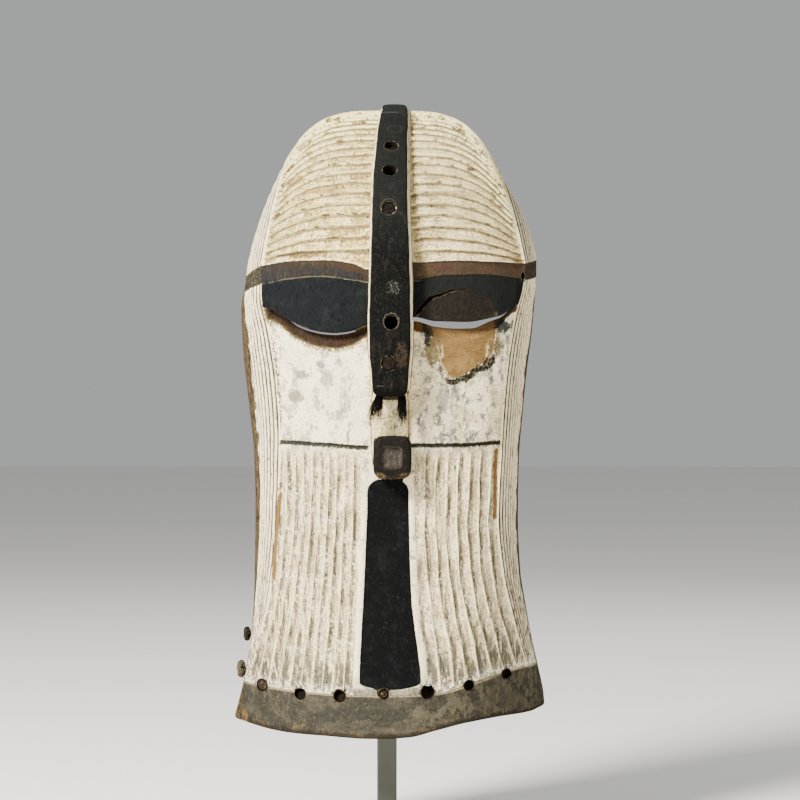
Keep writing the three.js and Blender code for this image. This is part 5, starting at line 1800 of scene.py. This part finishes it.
@dataclass
class Dressing:
    """What sticks in the mask or hangs on it: broken plugs, hair tufts and cord knots."""

    finishes: Finishes

    def peg(self, hole: Hole, number: int) -> Piece:
        """A plug broken off a little inside the mouth of its hole."""
        mouth, way, across, upward = hole.frame()
        on_rim = hole.z is not None
        r = hole.radius - (1.0 if on_rim else 0.45)
        top, end = (1.6, 8.2) if on_rim else (1.9, hole.depth - 0.4)
        turn = np.linspace(0, 2 * math.pi, 24, endpoint=False)
        rings = []
        for depth, share in ((end, 0.96), (top + 1.5, 1.0), (top + 0.3, 0.97), (top - 0.1, 0.86),
                             (top + 0.1, 0.68), (top + 0.35, 0.45), (top - 0.1, 0.2)):
            jag = 0.0 if depth > top + 1 else 0.45
            rough = jag * (np.sin(turn * 5 + number) * 0.6 + np.sin(turn * 9 + 2 * number) * 0.4)
            middle = mouth + np.outer(depth + rough, way)
            ring = np.cos(turn)[:, None] * across + np.sin(turn)[:, None] * upward
            rings.append(middle + ring * (r * share))
        return loft(str(hole.peg), rings, None, self.finishes.dark_fibre if on_rim
                    else self.finishes.peg)

    def tuft(self, name: str, top: Points, end: Points, root: float, spread: float,
             count: int, seed: int, tree: Tree) -> Piece:
        """A tuft of stiff hair that spreads towards its cut end."""
        dice = np.random.default_rng(seed)
        angle = dice.uniform(0, 2 * math.pi, count)
        out = np.sqrt(dice.uniform(0, 1, count))
        offset = np.stack([np.cos(angle) * out, np.sin(angle) * out * 0.8, np.zeros(count)], 1)
        start = top + offset * root
        finish = end + offset * (spread, root, 0) + dice.normal(0, 1.5, (count, 3))
        way = finish - start
        length = np.linalg.norm(way, axis=1)
        reach = length * np.where(dice.uniform(0, 1, count) < 0.65, dice.uniform(0.35, 0.95, count),
                                  dice.uniform(0.85, 1.2, count))
        made = mesh_object(name, start, [], {"way": way / length[:, None], "reach": reach})
        run_nodes(made, tree, {"Radius": 0.15, "Tip radius": 0.02, "Bend": 1.6, "Seed": seed,
                               "Material": self.finishes.hair})
        return made

    def knot(self, name: str, centre: Points, half: Points, seed: float,
             material: Material) -> Piece:
        """A knot of twisted fibre cord, three plies wound round each other."""
        steps, plies, sides = 230, 3, 6
        t = np.linspace(0, 2 * math.pi, steps, endpoint=False)
        tilt = math.pi / 2 + 1.15 * np.sin(4 * t + seed) + 0.3 * np.sin(9 * t)
        path = np.stack([np.sin(tilt) * np.cos(7 * t + seed), np.sin(tilt) * np.sin(7 * t + seed),
                         np.cos(tilt)], 1) * (half - 1.9)
        tangent = np.roll(path, -1, 0) - np.roll(path, 1, 0)
        tangent /= np.linalg.norm(tangent, axis=1, keepdims=True)
        side = np.cross(tangent, (0.3, 0.5, 0.81))
        side /= np.linalg.norm(side, axis=1, keepdims=True)
        up = np.cross(tangent, side)
        points, faces = [], []
        for ply in range(plies):
            lay = 40 * t + ply * 2 * math.pi / plies
            middle = path + (np.cos(lay)[:, None] * side + np.sin(lay)[:, None] * up) * 0.8
            thick = 1.0 * (1 + 0.15 * np.sin(t * 9 + ply + seed))
            first = ply * steps * sides
            for k in range(sides):
                a = 2 * math.pi * k / sides
                points.append((middle + (math.cos(a) * side + math.sin(a) * up)
                               * thick[:, None])[:, None])
            for i in range(steps):
                for k in range(sides):
                    j, n = (i + 1) % steps, (k + 1) % sides
                    faces.append(tuple(first + q for q in (i * sides + k, i * sides + n,
                                                           j * sides + n, j * sides + k)))
        grid = [np.concatenate(points[p * sides:(p + 1) * sides], axis=1).reshape(-1, 3)
                for p in range(plies)]
        made = mesh_object(name, np.concatenate(grid) + centre, faces)
        clean(made, 0.001)
        made.data.materials.append(material)
        shade(made, 60)
        return made

    def build(self, bristles: Tree) -> list[tuple[Piece, str, str]]:
        """Builds them all.

        Args:
            bristles: the Geometry Nodes tree of the hair.

        Returns:
            Each piece with the node it replaces and its material slot.
        """
        found = []
        for number, hole in enumerate(CREST_HOLES + RIM_HOLES):
            if hole.peg:
                made = self.peg(hole, number)
                shade(made, 40)
                found.append((made, hole.peg, "wooden_peg"))
        nose = skin(RIGHT, 0.0, NOSE_END)
        z, y = nose[2] - 2.5, nose[1] - 21
        for name, x, far, down, root, spread, seed in (
                ("nostril_tuft_left", -9.6, -15.0, 23, 3.5, 7.4, 11),
                ("nostril_tuft_right", 10.8, 11.4, 26, 3.4, 4.6, 12)):
            made = self.tuft(f"{name}_hair", np.array([MIDLINE + x, y, z + 1.5]),
                             np.array([MIDLINE + far, y - 2, z - down]), root, spread, 360, seed,
                             bristles)
            found.append((made, name, "hair"))
        for name, centre, half, seed, material in (
                ("cord_knot_upper", (-133.8, 48, 191.5), (4.1, 5.5, 7.1), 0.4,
                 self.finishes.dark_fibre),
                ("cord_knot_lower", (-139.4, 48, 158), (4.9, 6.5, 8.8), 1.9, self.finishes.fibre)):
            made = self.knot(f"{name}_cord", np.array(centre), np.array(half), seed, material)
            found.append((made, name, "plant_fibre"))
        return found


@dataclass
class Stand:
    """The steel post and foot, and the felt pads that the mask rests on."""

    finishes: Finishes

    def paint(self, nodes: dict[str, Piece]) -> None:
        """Paints the steel pieces, whose CAD shape is kept."""
        for name in ("stand_post", "stand_saddle", "stand_spacer", "stand_foot"):
            for slot in nodes[name].material_slots:
                slot.material = self.finishes.steel
            log.info("piece %s: kept from the frame", name)

    def pad(self, node: Piece) -> Piece:
        """A felt pad with soft, slightly pressed edges, cut to its CAD solid."""
        made = bpy.data.objects.new(f"{node.name}_felt", node.data.copy())
        bpy.context.scene.collection.objects.link(made)
        clean(made, 0.01)
        made.data.materials.clear()
        made.data.materials.append(self.finishes.felt)
        soft = made.modifiers.new("edges", "BEVEL")
        soft.width, soft.segments, soft.angle_limit = 0.9 * MM, 3, math.radians(40)
        baked(made)
        shade(made, 50)
        return made


@dataclass(frozen=True)
class Lamp:
    """A soft area light aimed at the mask."""

    name: str
    place: tuple[float, float, float]
    size: float
    power: float
    colour: tuple[float, float, float] = (1.0, 1.0, 1.0)

    def hang(self) -> None:
        """Adds the light to the scene."""
        data = bpy.data.lights.new(self.name, "AREA")
        data.shape, data.size, data.energy, data.color = "DISK", self.size, self.power, self.colour
        made = bpy.data.objects.new(self.name, data)
        bpy.context.scene.collection.objects.link(made)
        made.location = self.place
        aim = Vector((0.0, 0.0, 0.42)) - Vector(self.place)
        made.rotation_euler = aim.to_track_quat("-Z", "Y").to_euler()


@dataclass
class Studio:
    """Pale floor and backdrop light, soft lamps and the camera at the photograph's place."""

    finishes: Finishes
    lamps: tuple[Lamp, ...] = (
        Lamp("key", (-1.45, -1.8, 1.85), 0.8, 368.0, (1.0, 0.97, 0.92)),
        Lamp("fill", (1.8, -1.9, 1.0), 1.3, 22.0, (1.0, 0.98, 0.96)),
        Lamp("back", (0.6, 2.2, 2.2), 1.4, 22.0),
    )

    def build(self) -> None:
        """Sets up the floor, the world, the lamps and the camera."""
        far = 14000.0
        floor = mesh_object("floor", np.array([(-far, -far, 0), (far, -far, 0), (far, far, 0),
                                               (-far, far, 0)]), [(0, 1, 2, 3)])
        floor.data.materials.append(self.finishes.floor)
        world = bpy.data.worlds.new("studio")
        bpy.context.scene.world = world
        world.use_nodes = True
        sky = next(n for n in world.node_tree.nodes if n.type == "BACKGROUND")
        sky.inputs["Color"].default_value = linear("d9dadb")
        sky.inputs["Strength"].default_value = 0.6
        for lamp in self.lamps:
            lamp.hang()
        data = bpy.data.cameras.new("camera")
        data.lens, data.sensor_width, data.sensor_fit = 120.0, 36.0, "HORIZONTAL"
        data.clip_end = 60.0
        camera = bpy.data.objects.new("camera", data)
        bpy.context.scene.collection.objects.link(camera)
        camera.location = (0.0122, -2.5, 0.41465)
        camera.rotation_euler = (math.radians(90), 0, 0)
        bpy.context.scene.camera = camera


def settle(piece: Piece, node: str) -> None:
    """Puts a piece on the root body in place of a CAD node and logs it."""
    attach(piece, "root")
    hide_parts(node)
    count = sum(len(p.vertices) - 2 for p in piece.data.polygons)
    log.info("piece %s: %d triangles, for %s", piece.name, count, node)


def main() -> None:
    """Builds the whole scene."""
    logging.basicConfig(level=logging.INFO, format="%(name)s: %(message)s", stream=sys.stdout)
    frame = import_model()
    finishes = Finishes.mix()
    Studio(finishes).build()
    mask = Mask(finishes).build(carving_nodes())
    settle(mask, "mask")
    for piece, node, slot in Dressing(finishes).build(bristle_nodes()):
        settle(piece, node)
    stand = Stand(finishes)
    stand.paint(frame["nodes"])
    for name in ("saddle_pad", "spacer_pad"):
        pad = stand.pad(frame["nodes"][name])
        settle(pad, name)


if __name__ == "__main__":
    main()
